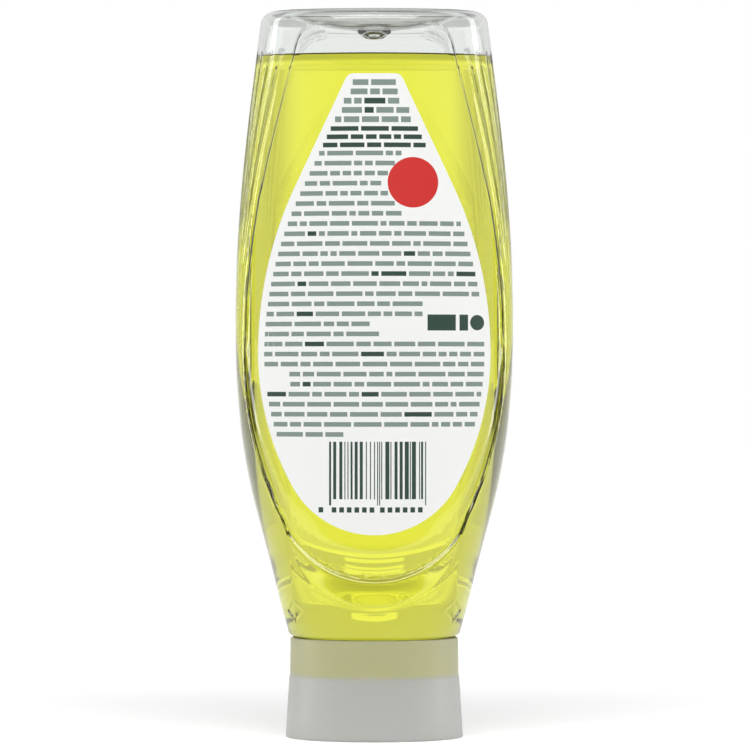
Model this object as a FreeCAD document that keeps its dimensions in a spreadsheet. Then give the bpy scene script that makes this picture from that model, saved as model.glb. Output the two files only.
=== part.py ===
import FreeCAD, Part
import math
import os
import Sketcher

# Dish soap bottle that stands on its cap: millimetres, +Z up, origin at the middle of the cap's foot.
# The bottle's width runs along X. The label with the small print faces -Y.
# A rise is a height above the bottle's shoulder, which lies shoulder_gap above the cap.

doc = FreeCAD.newDocument("dish_soap_bottle")

# Driving dimensions, each with its meaning
SIZES = (
    ("cap_height", 32.7, "height of the cap"),
    ("cap_foot_radius", 29.1, "outer radius of the cap's foot"),
    ("cap_band_radius", 27.9, "outer radius just under the line between the cap's two bands"),
    ("cap_rim_radius", 27.6, "outer radius of the cap's upper rim"),
    ("cap_band_step", 0.2, "depth of the step between the two bands"),
    ("cap_wall", 1.4, "wall of the cap's outer skirt"),
    ("cap_foot_round", 0.6, "round on the outer edge of the foot"),
    ("cap_rim_round", 0.5, "round on the outer edge of the upper rim"),
    ("deck_level", 20.2, "height of the deck's upper face"),
    ("deck_thickness", 1.6, "thickness of the deck"),
    ("snap_wall", 1.5, "wall of the skirt that snaps on to the neck"),
    ("snap_fit", 0.15, "gap between the snap skirt and the neck"),
    ("snap_bead", 0.5, "height of the neck's bead, and how far the skirt's lip reaches inward"),
    ("snap_bead_rise", 4.6, "height of the neck's bead above the deck"),
    ("snap_lip_length", 2.2, "length of the lip above the bead"),
    ("snap_lead", 0.6, "lead-in chamfer at the mouth of the snap skirt"),
    ("plug_wall", 1.2, "wall of the plug seal"),
    ("plug_length", 3.4, "length of the plug seal above the deck"),
    ("plug_fit", 0.15, "gap between the plug seal and the neck's bore"),
    ("nozzle_radius", 13.0, "outer radius of the nozzle"),
    ("nozzle_foot", 6.5, "height of the nozzle's lower face"),
    ("seat_thickness", 1.5, "thickness of the seat that carries the valve"),
    ("exit_radius", 7.6, "radius of the opening under the valve"),
    ("pocket_radius", 11.0, "radius of the pocket that takes valve and retainer"),
    ("valve_fit", 0.1, "gap round the valve and the retainer"),
    ("valve_flange", 1.4, "thickness of the valve's flange"),
    ("valve_skin", 0.7, "thickness of the valve's sleeve and head"),
    ("valve_drop", 1.1, "how far the valve's fold hangs below its flange"),
    ("valve_head_radius", 4.8, "radius of the valve's slit head"),
    ("slit_width", 0.12, "width of each slit"),
    ("slit_share", 0.8, "share of the head's width that each slit crosses"),
    ("retainer_wall", 2.2, "wall of the retaining ring"),
    ("retainer_height", 5.4, "height of the retaining ring"),
    ("baffle_thickness", 1.2, "thickness of the splash baffle"),
    ("baffle_hole_radius", 1.9, "radius of each hole in the baffle"),
    ("baffle_hole_circle", 5.4, "radius of the circle of holes"),
    ("seal_thickness", 0.15, "thickness of the peel-off seal"),
    ("seal_margin", 0.6, "how far the seal stays inside the nozzle's rim"),
    ("tab_length", 7.0, "how far the seal's pull tab stands out past the nozzle"),
    ("tab_width", 8.0, "width of the pull tab"),
    ("shoulder_gap", 0.4, "gap between the cap's rim and the bottle's shoulder"),
    ("shoulder_round", 2.2, "round at the bottle's lower edge"),
    ("neck_radius", 23.5, "outer radius of the neck"),
    ("neck_wall", 1.6, "wall of the neck"),
    ("wall", 0.8, "wall of the bottle"),
    ("body_rise", 204.9, "height of the bottle above its shoulder"),
    ("crown_round", 4.6, "round at the bottle's upper edge"),
    ("foot_half_width", 28.5, "radius of the round section just above the shoulder"),
    ("foot_crease", 25.3, "place of the corner creases there"),
    ("bulge_rise", 24.2, "height of the bulge below the panels"),
    ("bulge_half_width", 34.3, "half width at the bulge"),
    ("bulge_half_depth", 30.0, "half depth at the bulge"),
    ("bulge_crease", 27.3, "place of the corner creases at the bulge"),
    ("bulge_front_radius", 45.0, "radius of the front at the bulge"),
    ("flank_rise", 47.9, "height of the section above the bulge"),
    ("flank_half_width", 40.5, "half width there"),
    ("hip_rise", 71.5, "height of the section under the widest one"),
    ("hip_half_width", 44.2, "half width there"),
    ("belly_rise", 105.9, "height of the widest section"),
    ("belly_half_width", 45.6, "half width there"),
    ("chest_rise", 148.4, "height of the section where the bottle narrows"),
    ("chest_half_width", 43.4, "half width there"),
    ("grip_rise", 191.8, "height of the section at the liquid's level"),
    ("grip_half_width", 38.6, "half width there"),
    ("crown_half_width", 37.5, "half width under the round at the top"),
    ("panel_depth", 29.1, "half depth of the bottle at the foot of the panel"),
    ("panel_radius", 58.0, "radius of the panel, which curves one way only"),
    ("panel_lean", 1.2, "angle that the panel leans in by"),
    ("panel_recess", 0.4, "depth of the panel below the surface round it"),
    ("panel_margin", 1.2, "width between the panel's edge and the crease round it"),
    ("panel_foot_rise", 20.0, "height of the panel's lower end"),
    ("panel_wide_rise", 92.9, "height where the panel is widest"),
    ("panel_half_width", 42.1, "half width of the panel"),
    ("panel_low_radius", 123.0, "radius of the panel's edge below its widest place"),
    ("panel_high_radius", 273.0, "radius of the panel's edge above it"),
    ("panel_straight_rise", 161.2, "height where the panel's edge runs on straight"),
    ("panel_top_rise", 199.0, "height of the panel's upper end"),
    ("panel_corner", 8.0, "radius of the panel's upper corners"),
    ("ledge_foot_rise", 10.8, "height of the crescent ledge's lower end"),
    ("ledge_tip_rise", 28.6, "height where the crescent's lower edge ends at its tips"),
    ("ledge_half_width", 27.0, "half width of the crescent"),
    ("ledge_crease", 0.15, "depth of the crease between panel and ledge"),
    ("flute_radius", 1.6, "radius of the side flutes' section"),
    ("flute_depth", 0.35, "depth of the side flutes at their upper end"),
    ("flute_fade", 0.9, "how far the flutes rise out of the surface to their lower end"),
    ("flute_top_rise", 194.5, "height of the flutes' upper ends"),
    ("flute_length", 78.0, "height that the flutes run down"),
    ("dimple_rise", 8.8, "height of the corner dimples' middle"),
    ("dimple_place", 24.6, "distance of the corner dimples from the bottle's middle plane"),
    ("dimple_corner", 3.2, "distance from a corner dimple's middle to its corners"),
    ("dimple_depth", 0.35, "depth of a corner dimple"),
    ("push_half_width", 29.4, "half width of the push-up"),
    ("push_half_depth", 19.6, "half depth of the push-up"),
    ("push_height", 7.3, "vertical half axis of the push-up"),
    ("push_lift", 2.0, "height of the push-up's middle above the top"),
    ("push_wall", 1.2, "wall at the push-up"),
    ("gate_radius", 6.4, "radius of the gate nub where it leaves the push-up"),
    ("gate_tip_radius", 3.1, "radius of the gate nub's tip"),
    ("gate_height", 2.6, "height of the gate nub below the push-up"),
    ("fill_rise", 189.7, "height of the liquid's surface"),
    ("label_film", 0.12, "thickness of the label film"),
    ("label_foot_rise", 33.9, "height of the label's lower end"),
    ("label_wide_rise", 92.9, "height where the label is widest"),
    ("label_half_width", 37.8, "half width of the label"),
    ("label_low_radius", 89.0, "radius of the label's edge below its widest place"),
    ("label_high_radius", 126.5, "radius of the label's edge above it"),
    ("label_straight_rise", 146.9, "height where the label's edge runs on straight"),
    ("label_top_rise", 183.4, "height of the label's upper end"),
    ("label_corner", 3.0, "radius of the label's upper corners"),
    ("round_steps", 4, "sections that each round of the bottle is lofted through"),
    ("reach", 70.0, "length that the cutting forms need to pass the bottle"),
    ("cut_lift", 1.6, "how far the ledge's cutter reaches up into the panel's"),
)

sheet = doc.addObject("Spreadsheet::Sheet", "sizes")
for row, (alias, value, meaning) in enumerate(SIZES, start=1):
    sheet.set(f"A{row}", str(value))
    sheet.setAlias(f"A{row}", alias)
    sheet.set(f"B{row}", meaning)
doc.recompute()

# How near two lengths are to count as the same
TOLERANCE = 1e-3

# Heights that several pieces share
SHOULDER = "(sizes.cap_height + sizes.shoulder_gap)"
TOP = f"({SHOULDER} + sizes.body_rise)"
SEAT = "(sizes.nozzle_foot + sizes.seat_thickness)"
PANEL_FOOT = f"({SHOULDER} + sizes.panel_foot_rise)"
PANEL_WIDE = f"({SHOULDER} + sizes.panel_wide_rise)"
PANEL_STRAIGHT = f"({SHOULDER} + sizes.panel_straight_rise)"
LEAN = "tan(sizes.panel_lean * 1 deg)"


def number(expression):
    """Value of an expression of the sheet, as a plain number."""
    return float(sheet.evalExpression(expression))


def bind(thing, bindings):
    """Bind each named property of an object to its expression."""
    for name, expression in bindings.items():
        thing.setExpression(name, expression)
    return thing


def new_body(label):
    """Add a body under its own label."""
    body = doc.addObject("PartDesign::Body", label)
    body.Label = label
    return body


def new_sketch(body, name, role, level=None):
    """Add a sketch on an origin plane of its body, raised to a level if one is given."""
    sketch = body.newObject("Sketcher::SketchObject", name)
    plane = next(item for item in body.Origin.OriginFeatures if item.Role == role)
    sketch.AttachmentSupport = [(plane, "")]
    sketch.MapMode = "FlatFace"
    if level is not None:
        sketch.setExpression("AttachmentOffset.Base.z", level)
    return sketch


def fix(sketch, kind, geometry, expression):
    """Add a dimension to a sketch and bind it to its expression."""
    index = sketch.addConstraint(Sketcher.Constraint(kind, *geometry, number(expression)))
    sketch.setExpression(f"Constraints[{index}]", expression)


def tie(sketch, kind, *geometry):
    """Add a constraint without a size to a sketch."""
    sketch.addConstraint(Sketcher.Constraint(kind, *geometry))


def draw_lines(sketch, corners):
    """Draw a closed outline of straight lines through corners, each a pair of expressions."""
    points = [FreeCAD.Vector(number(across), number(up), 0) for across, up in corners]
    count = len(points)
    for index in range(count):
        sketch.addGeometry(Part.LineSegment(points[index], points[(index + 1) % count]), False)
    for index in range(count):
        tie(sketch, "Coincident", index, 2, (index + 1) % count, 1)
    for index, (across, up) in enumerate(corners):
        for kind, axis, expression in (("DistanceX", -2, across), ("DistanceY", -1, up)):
            if expression == "0":
                tie(sketch, "PointOnObject", index, 1, axis)
            else:
                fix(sketch, kind, (-1, 1, index, 1), expression)


def revolve(label, corners):
    """Make a body by turning an outline of (radius, height) corners about the vertical axis."""
    body = new_body(label)
    sketch = new_sketch(body, f"{label}_outline", "XZ_Plane")
    draw_lines(sketch, corners)
    turned = body.newObject("PartDesign::Revolution", f"{label}_turned")
    turned.Profile = sketch
    turned.ReferenceAxis = (sketch, ["V_Axis"])
    turned.Angle = 360
    body.Tip = turned
    doc.recompute()
    return body


def round_edges(body, name, radius, chosen):
    """Fillet the edges of a body's last feature whose middle passes the test."""
    feature = body.Tip
    names = []
    for index, edge in enumerate(feature.Shape.Edges, start=1):
        if chosen(edge):
            names.append(f"Edge{index}")
    rounded = body.newObject("PartDesign::Fillet", name)
    rounded.Base = (feature, names)
    rounded.setExpression("Radius", radius)
    body.Tip = rounded
    doc.recompute()


def at_height(height):
    """Test that finds edges lying flat at one height."""
    def chosen(edge):
        box = edge.BoundBox
        return abs(box.ZMin - height) < TOLERANCE and abs(box.ZMax - height) < TOLERANCE
    return chosen


def boolean(kind, name, base, tool):
    """Add a Part::Cut, Part::Fuse or Part::Common of two objects."""
    result = doc.addObject(kind, name)
    result.Base = base
    result.Tool = tool
    return result


def fuse(name, shapes):
    """Add the union of several objects."""
    result = doc.addObject("Part::MultiFuse", name)
    result.Shapes = shapes
    return result


def mirrored(name, source, normal):
    """Add the mirror image of an object across a plane through the origin."""
    result = doc.addObject("Part::Mirroring", name)
    result.Source = source
    result.Normal = normal
    return result


# Horizontal sections of the bottle

def panel_offset(across):
    """Depth that the panel's curve falls back by at a distance from its middle."""
    return f"(sizes.panel_radius - sqrt(sizes.panel_radius ^ 2 - ({across}) ^ 2))"


def panel_half_depth(level):
    """Half depth of the bottle at the middle of the leaning panel, at a level."""
    return f"(sizes.panel_depth - ({level} - {PANEL_FOOT}) * {LEAN})"


def crease_on_arc(level, radius):
    """Place of the crease beside the panel, where the panel's edge is an arc."""
    wide = "(sizes.panel_half_width + sizes.panel_margin)"
    return f"({wide} - {radius} + sqrt({radius} ^ 2 - ({level} - {PANEL_WIDE}) ^ 2))"


def crease_on_line(level):
    """Place of the crease beside the panel, where the panel's edge runs straight."""
    climb = "(sizes.panel_straight_rise - sizes.panel_wide_rise)"
    slope = f"({climb} / sqrt(sizes.panel_high_radius ^ 2 - {climb} ^ 2))"
    start = crease_on_arc(PANEL_STRAIGHT, "sizes.panel_high_radius")
    return f"({start} - ({level} - {PANEL_STRAIGHT}) * {slope})"


class Section:
    """One horizontal section of the bottle: a front and a back arc, and an arc on each side."""

    def __init__(self, name, level, half_width, half_depth, crease, front_radius):
        self.name = name
        self.level = level
        self.half_width = half_width
        self.half_depth = half_depth
        self.crease = crease
        self.front_radius = front_radius

    def inset(self, name, wall, level=None):
        """The same section with its surface moved in by a wall, at its own level or another."""
        crease = f"({self.crease} - {CREASE_INSET} * {wall})"
        return Section(f"{self.name}_{name}", level or self.level, f"({self.half_width} - {wall})",
                       f"({self.half_depth} - {wall})", crease, f"({self.front_radius} - {wall})")

    def corner_depth(self):
        """Expression for the depth of the crease between front and side."""
        radius = self.front_radius
        return f"({self.half_depth} - ({radius} - sqrt({radius} ^ 2 - {self.crease} ^ 2)))"

    def side_radius(self):
        """Expression for the radius of the side arc."""
        bulge = f"({self.half_width} - {self.crease})"
        return f"(({bulge} ^ 2 + {self.corner_depth()} ^ 2) / (2 * {bulge}))"

    def draw(self, body):
        """Draw the section as a sketch of four arcs on its level."""
        sketch = new_sketch(body, f"{body.Label}_{self.name}", "XY_Plane", self.level)
        across = number(self.crease)
        corner = number(self.corner_depth())
        width = number(self.half_width)
        depth = number(self.half_depth)
        ring = ((-across, -corner), (0, -depth), (across, -corner), (width, 0), (across, corner),
                (0, depth), (-across, corner), (-width, 0), (-across, -corner))
        points = [FreeCAD.Vector(x, y, 0) for x, y in ring]
        for start in range(0, len(points) - 1, 2):
            sketch.addGeometry(Part.Arc(points[start], points[start + 1], points[start + 2]), False)
        arcs = len(points) // 2
        for arc in range(arcs):
            tie(sketch, "Coincident", arc, 2, (arc + 1) % arcs, 1)
        for arc, axis in ((0, -2), (1, -1), (2, -2)):
            tie(sketch, "Symmetric", arc, 1, arc, 2, axis)
        tie(sketch, "Equal", 0, 2)
        tie(sketch, "Equal", 1, 3)
        fix(sketch, "DistanceX", (-1, 1, 0, 2), self.crease)
        fix(sketch, "DistanceY", (0, 2, -1, 1), self.corner_depth())
        fix(sketch, "Radius", (0,), self.front_radius)
        fix(sketch, "Radius", (1,), self.side_radius())
        return sketch


def panel_section(name, rise, half_width, crease_at):
    """A section whose front runs panel_recess outside the leaning panel."""
    level = f"({SHOULDER} + {rise})"
    return Section(name, level, half_width, f"({panel_half_depth(level)} + sizes.panel_recess)",
                   crease_at(level), "(sizes.panel_radius + sizes.panel_recess)")


def low_edge(level):
    """Crease beside the panel below its widest place."""
    return crease_on_arc(level, "sizes.panel_low_radius")


def high_edge(level):
    """Crease beside the panel above its widest place."""
    return crease_on_arc(level, "sizes.panel_high_radius")


# The crease moves in by this share of the wall along X
CREASE_INSET = 0.6

SECTIONS = (
    Section("foot", f"({SHOULDER} + sizes.shoulder_round)", "sizes.foot_half_width",
            "sizes.foot_half_width", "sizes.foot_crease", "sizes.foot_half_width"),
    Section("bulge", f"({SHOULDER} + sizes.bulge_rise)", "sizes.bulge_half_width",
            "sizes.bulge_half_depth", "sizes.bulge_crease", "sizes.bulge_front_radius"),
    panel_section("flank", "sizes.flank_rise", "sizes.flank_half_width", low_edge),
    panel_section("hip", "sizes.hip_rise", "sizes.hip_half_width", low_edge),
    panel_section("belly", "sizes.belly_rise", "sizes.belly_half_width", high_edge),
    panel_section("chest", "sizes.chest_rise", "sizes.chest_half_width", high_edge),
    panel_section("grip", "sizes.grip_rise", "sizes.grip_half_width", crease_on_line),
    panel_section("crown", "(sizes.body_rise - sizes.crown_round)", "sizes.crown_half_width",
                  crease_on_line),
)


def round_sections(name, section, radius, way):
    """Sections of a quarter round that turns in from a section; way is 1 upward and -1 downward."""
    count = int(number("sizes.round_steps"))
    ring = []
    for step in range(1, count + 1):
        turn = f"{90 * step / count} deg"
        level = f"({section.level} + {way} * {radius} * sin({turn}))"
        ring.append(section.inset(f"{name}_{step}", f"({radius} * (1 - cos({turn})))", level))
    return ring


def loft(label, sections, foot_round, crown_round):
    """Make a body by lofting through the sections, and on through a round at each end."""
    body = new_body(label)
    sketches = [section.draw(body) for section in sections]
    runs = [("skin", sketches)]
    for name, section, sketch, radius, way in (
            ("crown", sections[-1], sketches[-1], crown_round, 1),
            ("foot", sections[0], sketches[0], foot_round, -1)):
        turned = [item.draw(body) for item in round_sections(name, section, radius, way)]
        runs.append((name, [sketch] + turned))
    for name, run in runs:
        feature = body.newObject("PartDesign::AdditiveLoft", f"{label}_{name}")
        feature.Profile = run[0]
        feature.Sections = run[1:]
        body.Tip = feature
        doc.recompute()
    return body


# Drop-shaped outlines of the panel and the label

class Drop:
    """Upright drop: a foot arc, two arcs up each flank, a straight run, corners and a flat top."""

    def __init__(self, name, grow="0"):
        self.foot = f"({SHOULDER} + sizes.{name}_foot_rise - {grow})"
        self.wide = f"({SHOULDER} + sizes.{name}_wide_rise)"
        self.straight = f"({SHOULDER} + sizes.{name}_straight_rise)"
        self.top = f"({SHOULDER} + sizes.{name}_top_rise + {grow})"
        self.half_width = f"(sizes.{name}_half_width + {grow})"
        self.low = f"(sizes.{name}_low_radius + {grow})"
        self.high = f"(sizes.{name}_high_radius + {grow})"
        self.corner = f"(sizes.{name}_corner + {grow})"

    def foot_radius(self):
        """Radius of the foot arc that runs on smoothly from the lower flanks."""
        low = number(self.low)
        inset = low - number(self.half_width)
        height = number(self.wide) - number(self.foot)
        return (low ** 2 - inset ** 2 - height ** 2) / (2 * (low - height))

    def foot_joint(self):
        """Point where the foot arc runs into the lower flank."""
        foot_middle = FreeCAD.Vector(0, number(self.foot) + self.foot_radius(), 0)
        low_middle = FreeCAD.Vector(number(self.half_width) - number(self.low), number(self.wide), 0)
        return foot_middle + (foot_middle - low_middle).normalize() * self.foot_radius()

    def lower_edge(self, across):
        """Height of the outline's lower edge at a distance from its middle."""
        radius = self.foot_radius()
        if abs(across) <= self.foot_joint().x:
            return number(self.foot) + radius - math.sqrt(radius ** 2 - across ** 2)
        low = number(self.low)
        reach = low - number(self.half_width) + abs(across)
        return number(self.wide) - math.sqrt(low ** 2 - reach ** 2)

    def draw(self, sketch):
        """Draw the right half of the drop, closed by its middle line."""
        vector = FreeCAD.Vector
        foot, wide, top = number(self.foot), number(self.wide), number(self.top)
        half, low, high, corner = [number(x) for x in (self.half_width, self.low, self.high, self.corner)]
        foot_middle = vector(0, foot + self.foot_radius(), 0)
        low_middle = vector(half - low, wide, 0)
        high_middle = vector(half - high, wide, 0)
        joint = self.foot_joint()
        climb = (number(self.straight) - wide) / high
        outward = vector(math.sqrt(1 - climb ** 2), climb, 0)
        leave = high_middle + outward * high
        across = outward.dot(high_middle) + high - corner - outward.y * (top - corner)
        corner_middle = vector(across / outward.x, top - corner, 0)
        arc = self.arc
        tip = vector(0, top, 0)
        flat_end = corner_middle + vector(0, corner, 0)
        sketch.addGeometry(Part.LineSegment(vector(0, foot, 0), tip), False)
        sketch.addGeometry(Part.LineSegment(tip, flat_end), False)
        sketch.addGeometry(arc(corner_middle, corner_middle + outward * corner, flat_end), False)
        sketch.addGeometry(Part.LineSegment(corner_middle + outward * corner, leave), False)
        sketch.addGeometry(arc(high_middle, vector(half, wide, 0), leave), False)
        sketch.addGeometry(arc(low_middle, joint, vector(half, wide, 0)), False)
        sketch.addGeometry(arc(foot_middle, vector(0, foot, 0), joint), False)
        tie(sketch, "Coincident", 0, 2, 1, 1)
        tie(sketch, "Coincident", 0, 1, 6, 1)
        tie(sketch, "PointOnObject", 0, 1, -2)
        tie(sketch, "PointOnObject", 0, 2, -2)
        tie(sketch, "PointOnObject", 6, 3, -2)
        tie(sketch, "Horizontal", 1)
        tie(sketch, "Horizontal", 4, 3, 4, 1)
        for first, first_end, second, second_end in ((1, 2, 2, 2), (2, 1, 3, 1), (3, 2, 4, 2),
                                                     (4, 1, 5, 2), (5, 1, 6, 2)):
            tie(sketch, "Tangent", first, first_end, second, second_end)
        fix(sketch, "Radius", (2,), self.corner)
        fix(sketch, "Radius", (4,), self.high)
        fix(sketch, "Radius", (5,), self.low)
        fix(sketch, "DistanceY", (-1, 1, 0, 1), self.foot)
        fix(sketch, "DistanceY", (-1, 1, 0, 2), self.top)
        fix(sketch, "DistanceX", (-1, 1, 4, 1), self.half_width)
        fix(sketch, "DistanceY", (-1, 1, 4, 1), self.wide)
        fix(sketch, "DistanceY", (-1, 1, 4, 2), self.straight)

    @staticmethod
    def arc(middle, start, end):
        """Arc about a middle, counterclockwise from start to end."""
        radius = (start - middle).Length
        first = math.atan2(start.y - middle.y, start.x - middle.x)
        last = math.atan2(end.y - middle.y, end.x - middle.x)
        circle = Part.Circle(middle, FreeCAD.Vector(0, 0, 1), radius)
        return Part.ArcOfCircle(circle, first, last)

    def pad(self, label):
        """Make a body: the whole drop, padded out to the front."""
        body = new_body(label)
        sketch = new_sketch(body, f"{label}_half", "XZ_Plane")
        self.draw(sketch)
        half = body.newObject("PartDesign::Pad", f"{label}_pad")
        half.Profile = sketch
        half.setExpression("Length", "sizes.reach")
        body.Tip = half
        doc.recompute()
        whole = body.newObject("PartDesign::Mirrored", f"{label}_whole")
        whole.Originals = [half]
        whole.MirrorPlane = (sketch, ["V_Axis"])
        body.Tip = whole
        doc.recompute()
        return body


def panel_cylinder(name, grow):
    """Upright cylinder that leans in with the front panel, outside the panel's surface by grow."""
    cylinder = doc.addObject("Part::Cylinder", name)
    cylinder.Placement = FreeCAD.Placement(FreeCAD.Vector(), FreeCAD.Rotation(FreeCAD.Vector(1, 0, 0), -1))
    return bind(cylinder, {
        "Radius": f"sizes.panel_radius + {grow}",
        "Height": "sizes.body_rise + 2 * sizes.reach",
        "Placement.Rotation.Angle": "-sizes.panel_lean * 1 deg",
        "Placement.Base.y": f"sizes.panel_radius - sizes.panel_depth - sizes.reach * {LEAN}",
        "Placement.Base.z": f"{PANEL_FOOT} - sizes.reach",
    })


# Cutters that shape front and back, for the outer surface and again one wall further in

def depth_at(form, across, level):
    """Half depth of a form at a place and level, measured on its surface."""
    ray = Part.makeLine(FreeCAD.Vector(across, 0, level),
                        FreeCAD.Vector(across, number("sizes.reach"), level))
    return max(vertex.Y for vertex in ray.common(form.Shape).Vertexes)


# Outlines on each side of the middle that the ledge's cutter is lofted through
LEDGE_STEPS = 4


def ledge_cutter(name, blank, inward):
    """Wedge above the crescent ledge, lofted across the front through upright outlines.

    Each outline has the crease under the panel, the ledge's lower edge on the blank's surface,
    and three corners clear of the bottle. inward moves it all towards the middle.
    """
    drop = Drop("panel")
    rim = number(f"{SHOULDER} + sizes.ledge_foot_rise")
    half_width, crease = number("sizes.ledge_half_width"), number("sizes.ledge_crease")
    climb = number("sizes.ledge_tip_rise - sizes.ledge_foot_rise")
    rim_radius = (half_width ** 2 + climb ** 2) / (2 * climb)
    clear, lift, far = [number(f"sizes.{name}") for name in ("panel_recess", "cut_lift", "reach")]
    outlines = []
    for step in range(-LEDGE_STEPS, LEDGE_STEPS + 1):
        across = half_width * step / LEDGE_STEPS
        inner = drop.lower_edge(across)
        outer = rim + rim_radius - math.sqrt(rim_radius ** 2 - across ** 2)
        panel = number(panel_half_depth(inner)) - number(panel_offset(across))
        front = depth_at(blank, across, outer)
        corners = ((panel - crease, inner), (panel + clear, inner + lift), (far, inner + lift),
                   (far, outer), (front + clear, outer))
        points = [FreeCAD.Vector(across, inward - depth, level) for depth, level in corners]
        outlines.append(Part.makePolygon(points + points[:1]))
    cutter = doc.addObject("Part::Feature", name)
    cutter.Shape = Part.makeLoft(outlines, True, False)
    return cutter


def front_cutters(name, blank, grow):
    """Everything cut from the front of the blank, with the surfaces moved in by grow."""
    pad = Drop("panel", grow).pad(f"{name}_drop")
    recess = boolean("Part::Cut", f"{name}_recess", pad, panel_cylinder(f"{name}_core", f"(-{grow})"))
    return fuse(name, [recess, ledge_cutter(f"{name}_ledge", blank, number(grow))])


def both_ways(name, blank, grow):
    """The cutters of the front and, mirrored, of the back."""
    front = front_cutters(f"{name}_front", blank, grow)
    back = mirrored(f"{name}_back", front, FreeCAD.Vector(0, 1, 0))
    return fuse(name, [front, back])


# Each flute's share of the way from the side's middle to a crease
FLUTE_PLACES = (-0.84, -0.63, -0.42, -0.21, 0.21, 0.42, 0.63, 0.84)
# The flutes run along the sections from the hip to the crown
FLUTE_SECTIONS = slice(3, 8)


def side_point(section, share, outside):
    """Point outside a section's right side, at a share of the way from its middle to a crease."""
    radius = number(section.side_radius())
    middle = number(section.half_width) - radius
    angle = share * math.atan2(number(section.corner_depth()), number(section.crease) - middle)
    reach = radius + outside
    level = number(section.level)
    return FreeCAD.Vector(middle + reach * math.cos(angle), reach * math.sin(angle), level)


def flute_cutter(name, share):
    """Round rod along one flute of the right side, which rises out of the surface as it runs down."""
    radius, depth = number("sizes.flute_radius"), number("sizes.flute_depth")
    top = number(f"{SHOULDER} + sizes.flute_top_rise")
    length, fade = number("sizes.flute_length"), number("sizes.flute_fade")
    points = []
    for section in reversed(SECTIONS[FLUTE_SECTIONS]):
        done = max(0, (top - number(section.level)) / length)
        points.append(side_point(section, share, radius - depth + fade * done ** 2))
    path = Part.BSplineCurve()
    path.interpolate(points)
    ends = []
    for level in (top, top - length):
        cut = path.intersectCS(Part.Plane(FreeCAD.Vector(0, 0, level), FreeCAD.Vector(0, 0, 1)))
        crossing = cut[0][0]
        ends.append(path.parameter(FreeCAD.Vector(crossing.X, crossing.Y, crossing.Z)))
    start, tangent = path.value(ends[0]), path.tangent(ends[0])[0]
    end_ring = Part.Wire([Part.Circle(start, tangent, radius).toShape()])
    rod = doc.addObject("Part::Feature", name)
    rod.Shape = Part.Wire([path.toShape(*ends)]).makePipeShell([end_ring], True, False)
    return rod


def side_flutes():
    """The flutes of both sides."""
    rods = []
    for index, share in enumerate(FLUTE_PLACES, start=1):
        rods.append(flute_cutter(f"flute_{index}", share))
    right = fuse("flutes_right", rods)
    left = mirrored("flutes_left", right, FreeCAD.Vector(1, 0, 0))
    return fuse("flutes", [right, left])


def corner_dimples(blank):
    """Square dimples, point down, on the four lower corners of the blank."""
    level = number(f"{SHOULDER} + sizes.dimple_rise")
    across = number("sizes.dimple_place")
    outward = FreeCAD.Vector(across, depth_at(blank, across, level), 0)
    bearing = math.degrees(math.atan2(outward.y, outward.x))
    start = outward * (1 - number("sizes.dimple_depth") / outward.Length)
    block = doc.addObject("Part::Prism", "dimple")
    block.Polygon = 4
    block.Placement = FreeCAD.Placement(start + FreeCAD.Vector(0, 0, level),
                                        FreeCAD.Rotation(bearing, 90, 0))
    bind(block, {"Circumradius": "sizes.dimple_corner", "Height": "sizes.dimple_corner"})
    right = fuse("dimples_right", [block, mirrored("dimple_front", block, FreeCAD.Vector(0, 1, 0))])
    return fuse("dimples", [right, mirrored("dimples_left", right, FreeCAD.Vector(1, 0, 0))])


# The bottle

def push_up(name, grow):
    """Ellipsoid that presses the bottle's base in, larger by grow."""
    form = doc.addObject("Part::Ellipsoid", name)
    return bind(form, {
        "Radius1": f"sizes.push_height + {grow}",
        "Radius2": f"sizes.push_half_width + {grow}",
        "Radius3": f"sizes.push_half_depth + {grow}",
        "Placement.Base.z": f"{TOP} + sizes.push_lift",
    })


def gate_nub(name, grow):
    """Cone of the gate nub, which hangs from the push-up's middle."""
    cone = doc.addObject("Part::Cone", name)
    bottom = f"({TOP} + sizes.push_lift - sizes.push_height - sizes.gate_height - {grow})"
    return bind(cone, {
        "Radius1": f"sizes.gate_tip_radius - sizes.push_wall + {grow}",
        "Radius2": f"sizes.gate_radius - sizes.push_wall + {grow}",
        "Height": "sizes.gate_height + sizes.push_wall",
        "Placement.Base.z": bottom,
    })


def neck(name, radius, low, high):
    """Upright cylinder about the axis between two heights."""
    tube = doc.addObject("Part::Cylinder", name)
    return bind(tube, {"Radius": radius, "Height": f"{high} - {low}", "Placement.Base.z": low})


def make_outer():
    """The bottle as if it were solid, and everything that is cut from its outside."""
    blank = loft("bottle_blank", SECTIONS, "sizes.shoulder_round", "sizes.crown_round")
    bead_low = "(sizes.deck_level + sizes.snap_bead_rise)"
    finish = revolve("neck_finish", (
        ("0", "sizes.deck_level"),
        ("sizes.neck_radius", "sizes.deck_level"),
        ("sizes.neck_radius", bead_low),
        ("sizes.neck_radius + sizes.snap_bead", f"{bead_low} + sizes.snap_bead"),
        ("sizes.neck_radius + sizes.snap_bead", f"{bead_low} + 2 * sizes.snap_bead"),
        ("sizes.neck_radius", f"{bead_low} + 3 * sizes.snap_bead"),
        ("sizes.neck_radius", f"{SHOULDER} + sizes.wall"),
        ("0", f"{SHOULDER} + sizes.wall"),
    ))
    solid = fuse("bottle_solid", [blank, finish])
    cuts = [both_ways("outer_cuts", blank, "0"), side_flutes(), corner_dimples(blank),
            push_up("push_outer", "0"), gate_nub("gate_outer", "0")]
    return blank, solid, cuts


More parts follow.
